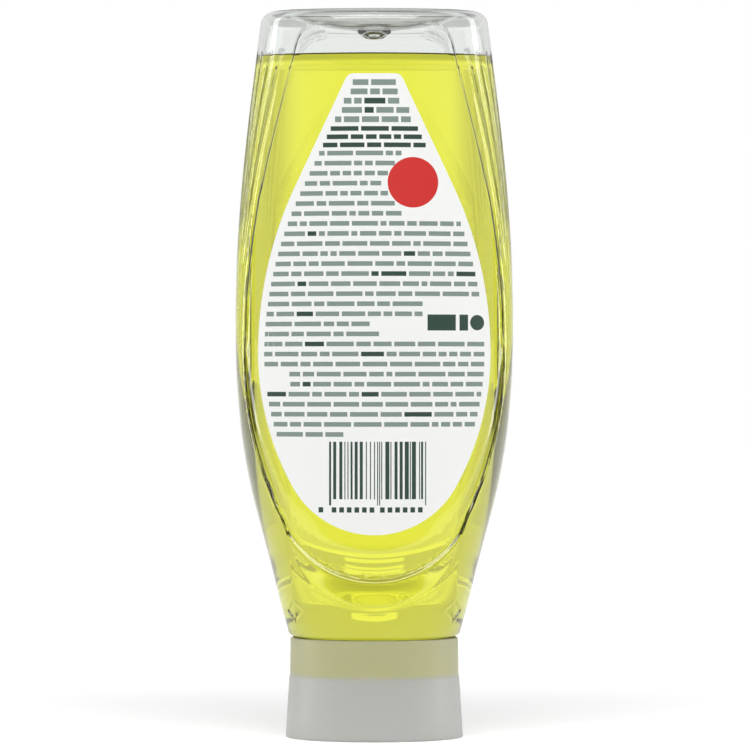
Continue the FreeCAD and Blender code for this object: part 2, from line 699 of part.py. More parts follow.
def make_cavity(blank):
    """Inside of the bottle, as a solid: one wall in from the blank, and the neck's bore."""
    floor = f"({SHOULDER} + sizes.wall)"
    sections = [section.inset("inner", "sizes.wall") for section in SECTIONS]
    inner = loft("cavity_blank", sections, "(sizes.shoulder_round - sizes.wall)",
                 "(sizes.crown_round - sizes.wall)")
    bore = neck("neck_bore", "sizes.neck_radius - sizes.neck_wall", "sizes.deck_level",
                f"({floor} + sizes.wall)")
    solid = fuse("cavity_solid", [inner, bore])
    cuts = fuse("cavity_cuts", [both_ways("inner_cuts", blank, "sizes.wall"),
                                push_up("push_inner", "sizes.push_wall"),
                                gate_nub("gate_inner", "sizes.push_wall")])
    return boolean("Part::Cut", "cavity", solid, cuts)


def make_bottle():
    """The blown bottle, and its cavity for the liquid."""
    blank, solid, cuts = make_outer()
    cavity = make_cavity(blank)
    bottle = boolean("Part::Cut", "bottle", solid, fuse("bottle_cuts", cuts + [cavity]))
    bottle.Label = "bottle"
    doc.recompute()
    return bottle, cavity


# The closure

def outer_edge(height, radius):
    """Test that finds the edge at one height that runs round at one radius."""
    level = at_height(height)
    return lambda edge: level(edge) and abs(edge.BoundBox.XMax - radius) < TOLERANCE


def make_cap():
    """The frosted closure: skirt in two bands, deck, snap skirt, plug seal and nozzle."""
    deck = "sizes.deck_level"
    under = "(sizes.deck_level - sizes.deck_thickness)"
    skirt_in = "(sizes.neck_radius + sizes.snap_bead + sizes.snap_fit)"
    skirt_out = f"({skirt_in} + sizes.snap_wall)"
    lip_in = "(sizes.neck_radius + sizes.snap_fit)"
    lip_low = f"({deck} + sizes.snap_bead_rise + 3 * sizes.snap_bead)"
    lip_high = f"({lip_low} + sizes.snap_lip_length)"
    plug_out = "(sizes.neck_radius - sizes.neck_wall - sizes.plug_fit)"
    plug_in = f"({plug_out} - sizes.plug_wall)"
    plug_top = f"({deck} + sizes.plug_length)"
    cap = revolve("cap", (
        ("sizes.cap_foot_radius - sizes.cap_wall", "0"),
        ("sizes.cap_foot_radius", "0"),
        ("sizes.cap_band_radius", deck),
        ("sizes.cap_band_radius - sizes.cap_band_step", deck),
        ("sizes.cap_rim_radius", "sizes.cap_height"),
        ("sizes.cap_rim_radius - sizes.cap_wall", "sizes.cap_height"),
        ("sizes.cap_band_radius - sizes.cap_band_step - sizes.cap_wall", deck),
        (skirt_out, deck),
        (skirt_out, f"{lip_high} + sizes.snap_lead"),
        (f"{lip_in} + sizes.snap_lead", f"{lip_high} + sizes.snap_lead"),
        (lip_in, lip_high),
        (lip_in, f"{lip_low} + sizes.snap_bead"),
        (skirt_in, lip_low),
        (skirt_in, deck),
        (plug_out, deck),
        (plug_out, f"{plug_top} - sizes.plug_wall"),
        (plug_in, plug_top),
        (plug_in, deck),
        ("sizes.pocket_radius", deck),
        ("sizes.pocket_radius", SEAT),
        ("sizes.exit_radius", SEAT),
        ("sizes.exit_radius", "sizes.nozzle_foot"),
        ("sizes.nozzle_radius", "sizes.nozzle_foot"),
        ("sizes.nozzle_radius", under),
        ("sizes.cap_band_radius - sizes.cap_wall", under),
    ))
    cap.Label = "cap"

    round_edges(cap, "cap_foot_edge", "sizes.cap_foot_round",
                outer_edge(0, number("sizes.cap_foot_radius")))
    round_edges(cap, "cap_rim_edge", "sizes.cap_rim_round",
                outer_edge(number("sizes.cap_height"), number("sizes.cap_rim_radius")))
    return cap


def make_valve():
    """Silicone valve: a flange, a sleeve that folds down and up again, and a head with a cross slit."""
    skin = "sizes.valve_skin"
    flange_out = "(sizes.pocket_radius - sizes.valve_fit)"
    top = f"({SEAT} + sizes.valve_flange)"
    fold_out = "(sizes.exit_radius - sizes.valve_fit)"
    fold_low = f"({SEAT} - sizes.valve_drop)"
    head = "sizes.valve_head_radius"
    form = revolve("valve_form", (
        ("0", f"{fold_low} + 2 * {skin}"),
        (head, f"{fold_low} + {skin}"),
        (f"{head} + {skin}", fold_low),
        (f"{fold_out} - {skin}", fold_low),
        (fold_out, f"{fold_low} + {skin}"),
        (fold_out, SEAT),
        (flange_out, SEAT),
        (flange_out, top),
        (f"{fold_out} - {skin}", top),
        (f"{fold_out} - {skin}", f"{fold_low} + 2 * {skin}"),
        (f"{head} + {skin}", f"{fold_low} + 2 * {skin}"),
        ("0", f"{fold_low} + 3 * {skin}"),
    ))
    slits = []
    for name, along, over in (("slit_x", "Length", "Width"), ("slit_y", "Width", "Length")):
        slit = doc.addObject("Part::Box", name)
        axis, side = ("x", "y") if along == "Length" else ("y", "x")
        bind(slit, {
            along: "2 * sizes.slit_share * sizes.valve_head_radius",
            over: "sizes.slit_width",
            "Height": "sizes.nozzle_foot",
            f"Placement.Base.{axis}": "-sizes.slit_share * sizes.valve_head_radius",
            f"Placement.Base.{side}": "-sizes.slit_width / 2",
            "Placement.Base.z": "sizes.nozzle_foot",
        })
        slits.append(slit)
    valve = boolean("Part::Cut", "valve", form, fuse("slits", slits))
    valve.Label = "valve"
    return valve


# Holes of the splash baffle, in one circle
BAFFLE_HOLES = 6


def make_retainer():
    """Ring that holds the valve down, with a perforated splash baffle across its top."""
    outer = "(sizes.pocket_radius - sizes.valve_fit)"
    low = f"({SEAT} + sizes.valve_flange)"
    high = f"({low} + sizes.retainer_height)"
    ring = revolve("retainer_form", (
        ("0", f"{high} - sizes.baffle_thickness"),
        (f"{outer} - sizes.retainer_wall", f"{high} - sizes.baffle_thickness"),
        (f"{outer} - sizes.retainer_wall", low),
        (outer, low),
        (outer, high),
        ("0", high),
    ))
    holes = []
    for index in range(BAFFLE_HOLES):
        turn = f"{index * 360 / BAFFLE_HOLES} deg"
        hole = doc.addObject("Part::Cylinder", f"baffle_hole_{index + 1}")
        bind(hole, {
            "Radius": "sizes.baffle_hole_radius",
            "Height": "sizes.retainer_height",
            "Placement.Base.x": f"sizes.baffle_hole_circle * cos({turn})",
            "Placement.Base.y": f"sizes.baffle_hole_circle * sin({turn})",
            "Placement.Base.z": f"{high} - 2 * sizes.baffle_thickness",
        })
        holes.append(hole)
    retainer = boolean("Part::Cut", "valve_retainer", ring, fuse("baffle_holes", holes))
    retainer.Label = "valve_retainer"
    return retainer


def make_seal():
    """Peel-off film under the nozzle, with its pull tab."""
    low = "(sizes.nozzle_foot - sizes.seal_thickness)"
    disc = neck("seal_disc", "sizes.nozzle_radius - sizes.seal_margin", low, "sizes.nozzle_foot")
    tab = doc.addObject("Part::Box", "seal_tab")
    bind(tab, {
        "Length": "sizes.nozzle_radius + sizes.tab_length",
        "Width": "sizes.tab_width",
        "Height": "sizes.seal_thickness",
        "Placement.Base.y": "-sizes.tab_width / 2",
        "Placement.Base.z": low,
    })
    seal = fuse("seal_film", [disc, tab])
    seal.Refine = True
    seal.Label = "seal_film"
    return seal


# The contents

def make_liquid(cavity, pieces):
    """The liquid: what fills the bottle up to its level, and the cap's pocket down to the valve."""
    full = neck("fill_space", "sizes.reach", "sizes.deck_level", f"({SHOULDER} + sizes.fill_rise)")
    settled = boolean("Part::Common", "liquid_in_bottle", cavity, full)
    pocket = neck("pocket_space", "sizes.pocket_radius", f"({SEAT} + sizes.valve_flange)",
                  "(sizes.deck_level + sizes.plug_length)")
    whole = fuse("liquid_space", [settled, pocket])
    liquid = boolean("Part::Cut", "dish_soap", whole, fuse("liquid_neighbours", pieces))
    liquid.Label = "dish_soap"
    return liquid


# The labels

def make_labels():
    """The two label films, which lie on the panels."""
    pad = Drop("label").pad("label_drop")
    film = boolean("Part::Cut", "label_sheet", panel_cylinder("label_outside", "sizes.label_film"),
                   panel_cylinder("label_inside", "0"))
    back = boolean("Part::Common", "back_label", pad, film)
    back.Label = "back_label"
    front = mirrored("front_label", back, FreeCAD.Vector(0, 1, 0))
    front.Label = "front_label"
    return back, front


def check_document():
    """Stop if any object of the document failed."""
    for thing in doc.Objects:
        if "Invalid" in thing.State or "Error" in thing.State:
            raise RuntimeError(f"{thing.Label} failed: {thing.State}")


def write_steps(pieces):
    """Check each sub-part's shape and write it to its STEP file."""
    for piece in pieces:
        if piece.Shape.isNull() or not piece.Shape.isValid():
            raise RuntimeError(f"{piece.Label} has no valid shape")
    os.makedirs("parts", exist_ok=True)
    for piece in pieces:
        piece.Shape.exportStep(f"parts/{piece.Label}.step")
        shape = piece.Shape
        box = shape.BoundBox
        print(f"{piece.Label}: {len(shape.Solids)} solid, {shape.Volume / 1000:.2f} ml,"
              f" z {box.ZMin:.2f} to {box.ZMax:.2f}, x {box.XMax:.2f}, y {box.YMax:.2f}")


bottle, cavity = make_bottle()
cap = make_cap()
valve = make_valve()
retainer = make_retainer()
seal = make_seal()
liquid = make_liquid(cavity, [cap, valve, retainer])
back_label, front_label = make_labels()
doc.recompute()
check_document()
write_steps([bottle, cap, valve, retainer, seal, liquid, back_label, front_label])
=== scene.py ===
import logging
import math
import random
from dataclasses import dataclass, field
from enum import Enum

import bpy
import numpy as np
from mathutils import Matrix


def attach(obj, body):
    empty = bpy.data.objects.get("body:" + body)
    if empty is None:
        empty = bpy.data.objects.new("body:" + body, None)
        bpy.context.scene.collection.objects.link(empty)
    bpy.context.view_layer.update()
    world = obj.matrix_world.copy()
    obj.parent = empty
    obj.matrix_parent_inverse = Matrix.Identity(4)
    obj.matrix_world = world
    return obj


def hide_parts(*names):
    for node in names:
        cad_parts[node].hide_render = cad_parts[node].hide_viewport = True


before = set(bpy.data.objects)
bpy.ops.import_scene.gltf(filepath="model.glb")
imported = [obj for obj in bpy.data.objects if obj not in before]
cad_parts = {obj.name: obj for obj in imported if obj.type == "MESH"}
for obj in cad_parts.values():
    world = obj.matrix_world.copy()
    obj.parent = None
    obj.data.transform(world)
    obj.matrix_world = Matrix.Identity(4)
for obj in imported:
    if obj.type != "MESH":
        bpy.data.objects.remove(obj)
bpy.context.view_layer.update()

# A dish soap bottle that stands on its cap. Sizes are in millimetres and meshes are made in metres.
# The bottle's width runs along X, and the label with the small print faces -Y.

MM = 0.001
LOG = logging.getLogger("dish_soap_bottle")

# Heights that have to differ, but not to be seen, differ by this
NEXT_TO = 1e-6
# Points on each half of a drop outline, and how many distances to it are worked out at once
OUTLINE_STEPS = 600
POINTS_AT_A_TIME = 4000
# Stands in for the share along a side where a ring's point is on the front or the back
ON_FRONT = 9.0
# What changes smoothly from section to section up the bottle
SPLINED = ("half_width", "half_depth", "crease", "front_radius")
# Sections beside the panel: rise above the shoulder, and half width
BESIDE_PANEL = {
    "flank": (47.9, 40.5),
    "hip": (71.5, 44.2),
    "belly": (105.9, 45.6),
    "chest": (148.4, 43.5),
    "grip": (191.8, 38.6),
}


def linear(code: str) -> tuple[float, float, float, float]:
    """Turn an sRGB hex colour into a linear one.

    Args:
        code: The colour, such as "#c8c832".

    Returns:
        Linear red, green, blue and an alpha of 1.
    """
    channels = [int(code[start:start + 2], 16) / 255 for start in (1, 3, 5)]
    flat = [value / 12.92 if value <= 0.04045 else ((value + 0.055) / 1.055) ** 2.4
            for value in channels]
    return (*flat, 1.0)


def add_node(tree: bpy.types.NodeTree, kind: str, inputs: dict | None = None,
             **settings: object) -> bpy.types.Node:
    """Add a node with its settings, values and links.

    Args:
        tree: The node tree that the node goes into.
        kind: The node's type name.
        inputs: Value or output socket for each input, by name or number.
        settings: The node's own properties.

    Returns:
        The new node.
    """
    node = tree.nodes.new(kind)
    for name, value in settings.items():
        setattr(node, name, value)
    for name, value in (inputs or {}).items():
        if isinstance(value, bpy.types.NodeSocket):
            tree.links.new(value, node.inputs[name])
        else:
            node.inputs[name].default_value = value
    return node


def new_material(name: str) -> tuple[bpy.types.Material, bpy.types.NodeTree]:
    """Add an empty node material and give it with its node tree."""
    material = bpy.data.materials.new(name)
    material.use_nodes = True
    material.node_tree.nodes.clear()
    return material, material.node_tree


# Finishes


@dataclass(frozen=True)
class BlownPet:
    """Stretch-blown PET: colourless, glossy and as clear as glass, with sharp reflections."""

    ior: float = 1.57
    roughness: float = 0.0
    tint: str = "#fbfdfb"
    reflects: bool = True

    def material(self) -> bpy.types.Material:
        """Make the material; a wall that liquid wets bends light but hardly reflects it."""
        material, tree = new_material("blown_pet" if self.reflects else "wetted_pet")
        shader = add_node(tree, "ShaderNodeBsdfPrincipled", {
            "Base Color": linear(self.tint),
            "Roughness": self.roughness,
            "IOR": self.ior,
            "Transmission Weight": 1.0,
            "Specular Tint": linear("#ffffff" if self.reflects else "#000000"),
        })
        add_node(tree, "ShaderNodeOutputMaterial", {"Surface": shader.outputs["BSDF"]})
        return material


@dataclass(frozen=True)
class SoapLiquid:
    """Clear dyed dish soap: water-like, bends light less than PET and swallows the blue."""

    ior: float = 1.38
    colour_through_bottle: str = "#fbf942"
    depth_mm: float = 56.0
    headroom: float = 1.001
    free_surface: bool = False

    def material(self) -> bpy.types.Material:
        """Make the material, which absorbs down to its colour over the bottle's depth."""
        material, tree = new_material("soap_surface" if self.free_surface else "soap_liquid")
        shader = add_node(tree, "ShaderNodeBsdfPrincipled", {
            "Base Color": linear("#ffffff"),
            "Roughness": 0.0,
            "IOR": self.ior,
            "Transmission Weight": 1.0,
            "Specular Tint": linear("#ffffff" if self.free_surface else "#000000"),
        })
        through = linear(self.colour_through_bottle)[:3]
        loss = [-math.log(value) / (self.depth_mm * MM) for value in through]
        density = max(loss) * self.headroom
        colour = tuple(1 - value / density for value in loss)
        absorb = add_node(tree, "ShaderNodeVolumeAbsorption", {
            "Color": (*colour, 1.0),
            "Density": density,
        })
        add_node(tree, "ShaderNodeOutputMaterial", {
            "Surface": shader.outputs["BSDF"],
            "Volume": absorb.outputs["Volume"],
        })
        return material


@dataclass(frozen=True)
class ClearFilm:
    """Clear pressure-sensitive film: no gap under it, so it only shows as a weak sheen."""

    ior: float = 1.49
    roughness: float = 0.05
    sheen: float = 0.12

    def material(self) -> bpy.types.Material:
        """Make the material, mostly let through as it is."""
        material, tree = new_material("clear_film")
        shader = add_node(tree, "ShaderNodeBsdfPrincipled", {
            "Base Color": linear("#ffffff"),
            "Roughness": self.roughness,
            "IOR": self.ior,
            "Transmission Weight": 1.0,
            "Alpha": self.sheen,
        })
        add_node(tree, "ShaderNodeOutputMaterial", {"Surface": shader.outputs["BSDF"]})
        return material


@dataclass(frozen=True)
class FrostedPolypropylene:
    """Natural polypropylene moulded in a spark-eroded tool: milky, dull and lit from within, with
    painted soap light on its upper band.
    """

    ior: float = 1.49
    roughness: float = 0.42
    tint: str = "#f8f8f0"
    painted_soap_light_tint: str = "#fbf9bc"
    neck_start_mm: float = 19.5
    neck_full_mm: float = 21.5
    see_through: float = 0.5
    milk: float = 0.8
    milk_depth_mm: float = 3.0
    grain_mm: float = 0.35
    grain_height_mm: float = 0.02
    grain_strength: float = 0.25

    def material(self) -> bpy.types.Material:
        """Make the material: fine grain as bump, and the upper band painted yellow by height, as
        painted light from the soap in the neck behind it.
        """
        material, tree = new_material("frosted_polypropylene")
        place = add_node(tree, "ShaderNodeTexCoord")
        axes = add_node(tree, "ShaderNodeSeparateXYZ", {0: place.outputs["Object"]})
        neck = add_node(tree, "ShaderNodeMapRange", {
            "Value": axes.outputs["Z"],
            "From Min": self.neck_start_mm * MM,
            "From Max": self.neck_full_mm * MM,
        })
        # Painted light: from the deck up the colour turns yellow by height, for the soap in the
        # neck seen through the frosted wall.
        colour = add_node(tree, "ShaderNodeMix", {
            0: neck.outputs[0],
            6: linear(self.tint),
            7: linear(self.painted_soap_light_tint),
        }, data_type="RGBA")
        grain = add_node(tree, "ShaderNodeTexNoise", {
            "Vector": place.outputs["Object"],
            "Scale": 1 / (self.grain_mm * MM),
            "Detail": 2.0,
        })
        bump = add_node(tree, "ShaderNodeBump", {
            "Height": grain.outputs["Fac"],
            "Strength": self.grain_strength,
            "Distance": self.grain_height_mm * MM,
        })
        shader = add_node(tree, "ShaderNodeBsdfPrincipled", {
            "Base Color": colour.outputs[2],
            "Roughness": self.roughness,
            "IOR": self.ior,
            "Transmission Weight": self.see_through,
            "Subsurface Weight": self.milk,
            "Subsurface Radius": (1.0, 1.0, 0.9),
            "Subsurface Scale": self.milk_depth_mm * MM,
            "Normal": bump.outputs["Normal"],
        })
        add_node(tree, "ShaderNodeOutputMaterial", {"Surface": shader.outputs["BSDF"]})
        return material


@dataclass(frozen=True)
class PlainFinish:
    """An opaque or milky moulded or printed surface with a fine, even grain."""

    name: str
    colour: str
    roughness: float
    ior: float = 1.5
    see_through: float = 0.0
    grain_mm: float = 0.5
    grain_height_mm: float = 0.01
    grain_strength: float = 0.1
    mottle: float = 0.03

    def material(self) -> bpy.types.Material:
        """Make the material, whose colour wanders a little over grains of the given size."""
        material, tree = new_material(self.name)
        place = add_node(tree, "ShaderNodeTexCoord")
        grain = add_node(tree, "ShaderNodeTexNoise", {
            "Vector": place.outputs["Object"],
            "Scale": 1 / (self.grain_mm * MM),
            "Detail": 3.0,
        })
        shade = add_node(tree, "ShaderNodeMapRange", {
            "Value": grain.outputs["Fac"],
            "To Min": 1 - self.mottle,
            "To Max": 1 + self.mottle,
        })
        colour = add_node(tree, "ShaderNodeMix", {
            0: 1.0,
            6: linear(self.colour),
            7: shade.outputs["Result"],
        }, data_type="RGBA", blend_type="MULTIPLY")
        bump = add_node(tree, "ShaderNodeBump", {
            "Height": grain.outputs["Fac"],
            "Strength": self.grain_strength,
            "Distance": self.grain_height_mm * MM,
        })
        shader = add_node(tree, "ShaderNodeBsdfPrincipled", {
            "Base Color": colour.outputs[2],
            "Roughness": self.roughness,
            "IOR": self.ior,
            "Transmission Weight": self.see_through,
            "Normal": bump.outputs["Normal"],
        })
        add_node(tree, "ShaderNodeOutputMaterial", {"Surface": shader.outputs["BSDF"]})
        return material


# Meshes


def make_piece(name: str, vertices: np.ndarray, faces: list, materials: list,
               slots: list | None = None, smooth: bool = True) -> bpy.types.Object:
    """Make an object from points in millimetres.

    Args:
        name: The piece's name.
        vertices: One row of x, y and z for each point.
        faces: Rows of point numbers.
        materials: The piece's materials.
        slots: The number of each face's material.
        smooth: Whether the faces are shaded smooth.

    Returns:
        The object, linked into the scene.
    """
    mesh = bpy.data.meshes.new(name)
    mesh.from_pydata((np.asarray(vertices, float) * MM).tolist(), [], faces)
    for material in materials:
        mesh.materials.append(material)
    if slots is not None:
        mesh.polygons.foreach_set("material_index", slots)
    mesh.polygons.foreach_set("use_smooth", [smooth] * len(mesh.polygons))
    mesh.validate()
    mesh.update()
    piece = bpy.data.objects.new(name, mesh)
    bpy.context.scene.collection.objects.link(piece)
    LOG.info("%s: %d points, %d faces", name, len(mesh.vertices), len(mesh.polygons))
    return piece


def ring_faces(rows: int, count: int, first: int = 0) -> list:
    """Faces between closed rings of points that follow each other.

    Args:
        rows: Number of rings.
        count: Points in each ring.
        first: Number of the first ring's first point.

    Returns:
        Rows of four point numbers, counterclockwise seen from outside if the rings go up.
    """
    faces = []
    for row in range(rows - 1):
        low = first + row * count
        for step in range(count):
            after = (step + 1) % count
            faces.append((low + step, low + after, low + count + after, low + count + step))
    return faces


def turned_faces(rings: int, count: int) -> list:
    """Faces of a closed outline turned about the axis.

    Args:
        rings: Number of points in the outline.
        count: Points round the axis.

    Returns:
        The faces of ring_faces, and one more row from the last ring back to the first.
    """
    faces = ring_faces(rings, count)
    last = (rings - 1) * count
    for step in range(count):
        after = (step + 1) % count
        faces.append((last + step, last + after, after, step))
    return faces


def smooth_step(low: float, high: float, value: np.ndarray) -> np.ndarray:
    """Share from 0 at low to 1 at high, with soft ends."""
    share = np.clip((value - low) / (high - low), 0, 1)
    return share * share * (3 - 2 * share)


class Spline:
    """Natural cubic spline through a few values."""

    def __init__(self, places: list, values: list) -> None:
        """Solve for the curvature at each place."""
        self.places = np.array(places, float)
        self.values = np.array(values, float)
        gaps = np.diff(self.places)
        count = len(self.places)
        system = np.eye(count)
        right = np.zeros(count)
        for index in range(1, count - 1):
            below, above = gaps[index - 1], gaps[index]
            system[index, index - 1:index + 2] = below, 2 * (below + above), above
            rise = np.diff(self.values[index - 1:index + 2]) / gaps[index - 1:index + 1]
            right[index] = 6 * (rise[1] - rise[0])
        self.bends = np.linalg.solve(system, right)

    def at(self, place: np.ndarray) -> np.ndarray:
        """Values at places."""
        place = np.asarray(place, float)
        index = np.clip(np.searchsorted(self.places, place) - 1, 0, len(self.places) - 2)
        gap = self.places[index + 1] - self.places[index]
        above = (self.places[index + 1] - place) / gap
        below = 1 - above
        bend = (above ** 3 - above) * self.bends[index]
        bend = bend + (below ** 3 - below) * self.bends[index + 1]
        return above * self.values[index] + below * self.values[index + 1] + bend * gap ** 2 / 6


@dataclass(frozen=True)
class Drop:
    """Upright drop outline: foot arc, two arcs up each flank, straight run, corners, flat top."""

    foot: float
    wide: float
    straight: float
    top: float
    half_width: float
    low_radius: float
    high_radius: float
    corner: float

    def foot_radius(self) -> float:
        """Radius of the foot arc that runs on smoothly from the lower flanks."""
        inset = self.low_radius - self.half_width
        height = self.wide - self.foot
        return (self.low_radius ** 2 - inset ** 2 - height ** 2) / (2 * (self.low_radius - height))

    def foot_joint(self) -> tuple[float, float]:
        """Place where the foot arc runs into the lower flank."""
        radius = self.foot_radius()
        across = self.low_radius - self.half_width
        up = self.foot + radius - self.wide
        length = math.hypot(across, up)
        return across / length * radius, self.foot + radius + up / length * radius

    def lower_edge(self, across: np.ndarray) -> np.ndarray:
        """Height of the outline's lower edge at distances from its middle."""
        across = np.abs(across)
        radius = self.foot_radius()
        on_foot = self.foot + radius - np.sqrt(np.maximum(radius ** 2 - across ** 2, 0))
        reach = self.low_radius - self.half_width + across
        on_flank = self.wide - np.sqrt(np.maximum(self.low_radius ** 2 - reach ** 2, 0))
        return np.where(across <= self.foot_joint()[0], on_foot, on_flank)

    def corner_place(self) -> tuple[float, float, float]:
        """Middle of the upper corner's arc, and the height where the straight run meets it."""
        climb = (self.straight - self.wide) / self.high_radius
        outward = (math.sqrt(1 - climb ** 2), climb)
        middle_up = self.top - self.corner
        reach = outward[0] * (self.half_width - self.high_radius) + outward[1] * self.wide
        reach += self.high_radius - self.corner - outward[1] * middle_up
        return reach / outward[0], middle_up, middle_up + outward[1] * self.corner

    def width_at(self, level: float) -> float:
        """Half width of the outline at a height."""
        joint = self.foot_joint()[1]
        middle, middle_up, corner_start = self.corner_place()
        if level < joint:
            radius = self.foot_radius()
            return math.sqrt(max(radius ** 2 - (level - self.foot - radius) ** 2, 0))
        if level < self.straight:
            radius = self.low_radius if level < self.wide else self.high_radius
            return self.half_width - radius + math.sqrt(radius ** 2 - (level - self.wide) ** 2)
        if level < corner_start:
            climb = self.straight - self.wide
            slope = climb / math.sqrt(self.high_radius ** 2 - climb ** 2)
            return self.width_at(self.straight - NEXT_TO) - (level - self.straight) * slope
        return middle + math.sqrt(max(self.corner ** 2 - (level - middle_up) ** 2, 0))

    def outline(self) -> np.ndarray:
        """Points right round the outline, as rows of across and up."""
        turn = np.linspace(0, math.pi, OUTLINE_STEPS)
        levels = self.foot + (self.top - self.foot) * (1 - np.cos(turn)) / 2
        widths = np.array([self.width_at(level) for level in levels])
        right = np.column_stack([widths, levels])
        return np.vstack([right, right[::-1] * (-1, 1)])

    def depth_inside(self, across: np.ndarray, up: np.ndarray) -> np.ndarray:
        """Distance of each point from the outline, above 0 inside and below 0 outside."""
        edge = self.outline()
        points = np.column_stack([across.ravel(), up.ravel()])
        nearest = np.empty(len(points))
        for start in range(0, len(points), POINTS_AT_A_TIME):
            part = slice(start, start + POINTS_AT_A_TIME)
            gap = points[part][:, None, :] - edge[None, :, :]
            nearest[part] = np.sqrt((gap ** 2).sum(2).min(1))
        widths = np.interp(points[:, 1], edge[:OUTLINE_STEPS, 1], edge[:OUTLINE_STEPS, 0])
        inside = np.abs(points[:, 0]) < widths
        inside &= (points[:, 1] > self.foot) & (points[:, 1] < self.top)
        return np.where(inside, nearest, -nearest).reshape(across.shape)


# The bottle's form, which the bottle, the liquid and the labels share


@dataclass(frozen=True)
class Station:
    """One horizontal section of the bottle: arcs front and back, and an arc on each side."""

    level: float
    half_width: float
    half_depth: float
    crease: float
    front_radius: float


@dataclass
class BottleForm:
    """Outer surface of the blown body, as rings of points from the shoulder to its top."""

    cap_height: float
    top: float
    shoulder_gap: float = 0.4
    shoulder_round: float = 2.2
    crown_round: float = 4.6
    crown_half_width: float = 37.5
    foot_radius: float = 28.5
    panel_depth: float = 29.1
    panel_radius: float = 58.0
    panel_lean: float = math.radians(1.2)
    panel_recess: float = 0.4
    panel_margin: float = 1.2
    ledge_rise: float = 10.8
    ledge_tip_rise: float = 28.6
    ledge_half_width: float = 27.0
    scoop_depth: float = 1.0
    scoop_rise: float = 9.0
    step_height: float = 0.95
    step_width: float = 1.9
    ridge_height: float = 0.33
    ridge_width: float = 0.75
    edge_softness: float = 1.2
    crease_softness: float = 0.4
    groove_depth: float = 0.3
    groove_width: float = 0.35
    groove_middle: float = 0.4
    groove_deepens: tuple = (6.0, 20.0)
    ramp_start: float = 0.15
    full_ledge: float = 6.0
    least_ledge: float = 0.05
    ledge_fade: float = 2.5
    ledge_sharpness: float = 0.75
    ridge_reach: float = 4.0
    arc_end: float = 0.5
    crease_inset: float = 0.6
    flute_shares: tuple = (-0.84, -0.63, -0.42, -0.21, 0.21, 0.42, 0.63, 0.84)
    flute_half_width: float = 1.2
    flute_depth: float = 0.55
    flute_top: float = 223.2
    flute_length: float = 78.0
    flute_start: float = 0.012
    flute_run_out: float = 2.2
    dimple_rise: float = 8.8
    dimple_front_width: float = 5.0
    dimple_side_width: float = 5.0
    dimple_half_height: float = 3.4
    dimple_slant: float = 0.1
    dimple_edge: float = 0.13
    dimple_depth: float = 0.35
    push_half_width: float = 29.4
    push_half_depth: float = 19.6
    push_height: float = 7.3
    push_lift: float = 2.0
    gate_radius: float = 6.4
    gate_tip_radius: float = 3.1
    gate_height: float = 2.6
    gate_round: float = 0.5
    gate_blend: float = 2.5
    fine_step: float = 0.33
    coarse_step: float = 4.6
    top_step: float = 0.9
    fine_rise: float = 14.0
    coarse_end: float = 9.0
    front_count: int = 52
    margin_count: int = 4
    smoothing_points: int = 1024
    lower_end: float = 74.0
    upper_start: float = 110.0
    lower_even: float = 0.45
    lower_crowding: float = 2.0
    upper_crowding: float = 1.5
    corner_even: float = 0.35
    corner_crowding: float = 2.2
    flute_points: tuple = (-1.5, -1.0, -0.5, 0.0, 0.5, 1.0, 1.5)
    side_half_length: float = 25.0
    side_reach: float = 0.985
    wide_land: float = 0.18
    panel: Drop = field(init=False)

    def __post_init__(self) -> None:
        """Work out the panel's outline and the splines through the stations."""
        base = self.cap_height + self.shoulder_gap
        self.shoulder = base
        self.panel = Drop(foot=base + 20.0, wide=base + 92.9, straight=base + 161.2,
                          top=base + 199.0, half_width=42.1, low_radius=123.0,
                          high_radius=273.0, corner=8.0)
        foot = self.foot_radius
        stations = [
            Station(base + self.shoulder_round, foot, foot, crease=25.3, front_radius=foot),
            Station(base + 8.5, 30.3, 29.5, crease=26.1, front_radius=32.5),
            Station(base + 24.2, 34.3, 30.0, crease=27.3, front_radius=45.0),
        ]
        beside = [(base + rise, half_width) for rise, half_width in BESIDE_PANEL.values()]
        beside.append((self.top - self.crown_round, self.crown_half_width))
        for level, half_width in beside:
            depth = self.panel_depth_at(0.0, level) + self.panel_recess
            stations.append(Station(level, half_width, depth, self.crease_at(level),
                                    self.panel_radius + self.panel_recess))
        self.stations = stations
        levels = [station.level for station in stations]
        self.splines = {name: Spline(levels, [getattr(station, name) for station in stations])
                        for name in SPLINED}

    def panel_depth_at(self, across: np.ndarray, level: np.ndarray) -> np.ndarray:
        """Half depth of the panel's surface at a place and level."""
        fall = self.panel_radius - np.sqrt(self.panel_radius ** 2 - np.asarray(across) ** 2)
        return self.panel_depth - (level - self.panel.foot) * math.tan(self.panel_lean) - fall

    def crease_at(self, level: float) -> float:
        """Distance of the crease beside the panel from the middle plane."""
        panel = self.panel
        wide = panel.half_width + self.panel_margin
        if level < panel.wide:
            radius, up = panel.low_radius, level - panel.wide
            return wide - radius + math.sqrt(radius ** 2 - up ** 2)
        up = min(level, panel.straight) - panel.wide
        place = wide - panel.high_radius + math.sqrt(panel.high_radius ** 2 - up ** 2)
        if level <= panel.straight:
            return place
        return place - (level - panel.straight) * up / math.sqrt(panel.high_radius ** 2 - up ** 2)

    def lower_share(self, level: float) -> float:
        """1 where the rings serve the dimples and the ledge, 0 where they serve the flutes."""
        return float(1 - smooth_step(self.lower_end, self.upper_start, np.array(level)))

    def front_places(self, level: float) -> np.ndarray:
        """Shares of the way from the middle to the panel's edge, closer together near the edge."""
        even = np.linspace(0, 1, self.front_count // 2 + 1)
        upper = 1 - (1 - even) ** self.upper_crowding
        lower = self.lower_even * even
        lower = lower + (1 - self.lower_even) * (1 - (1 - even) ** self.lower_crowding)
        share = self.lower_share(level)
        half = share * lower + (1 - share) * upper
        return np.concatenate([-half[:0:-1], half])

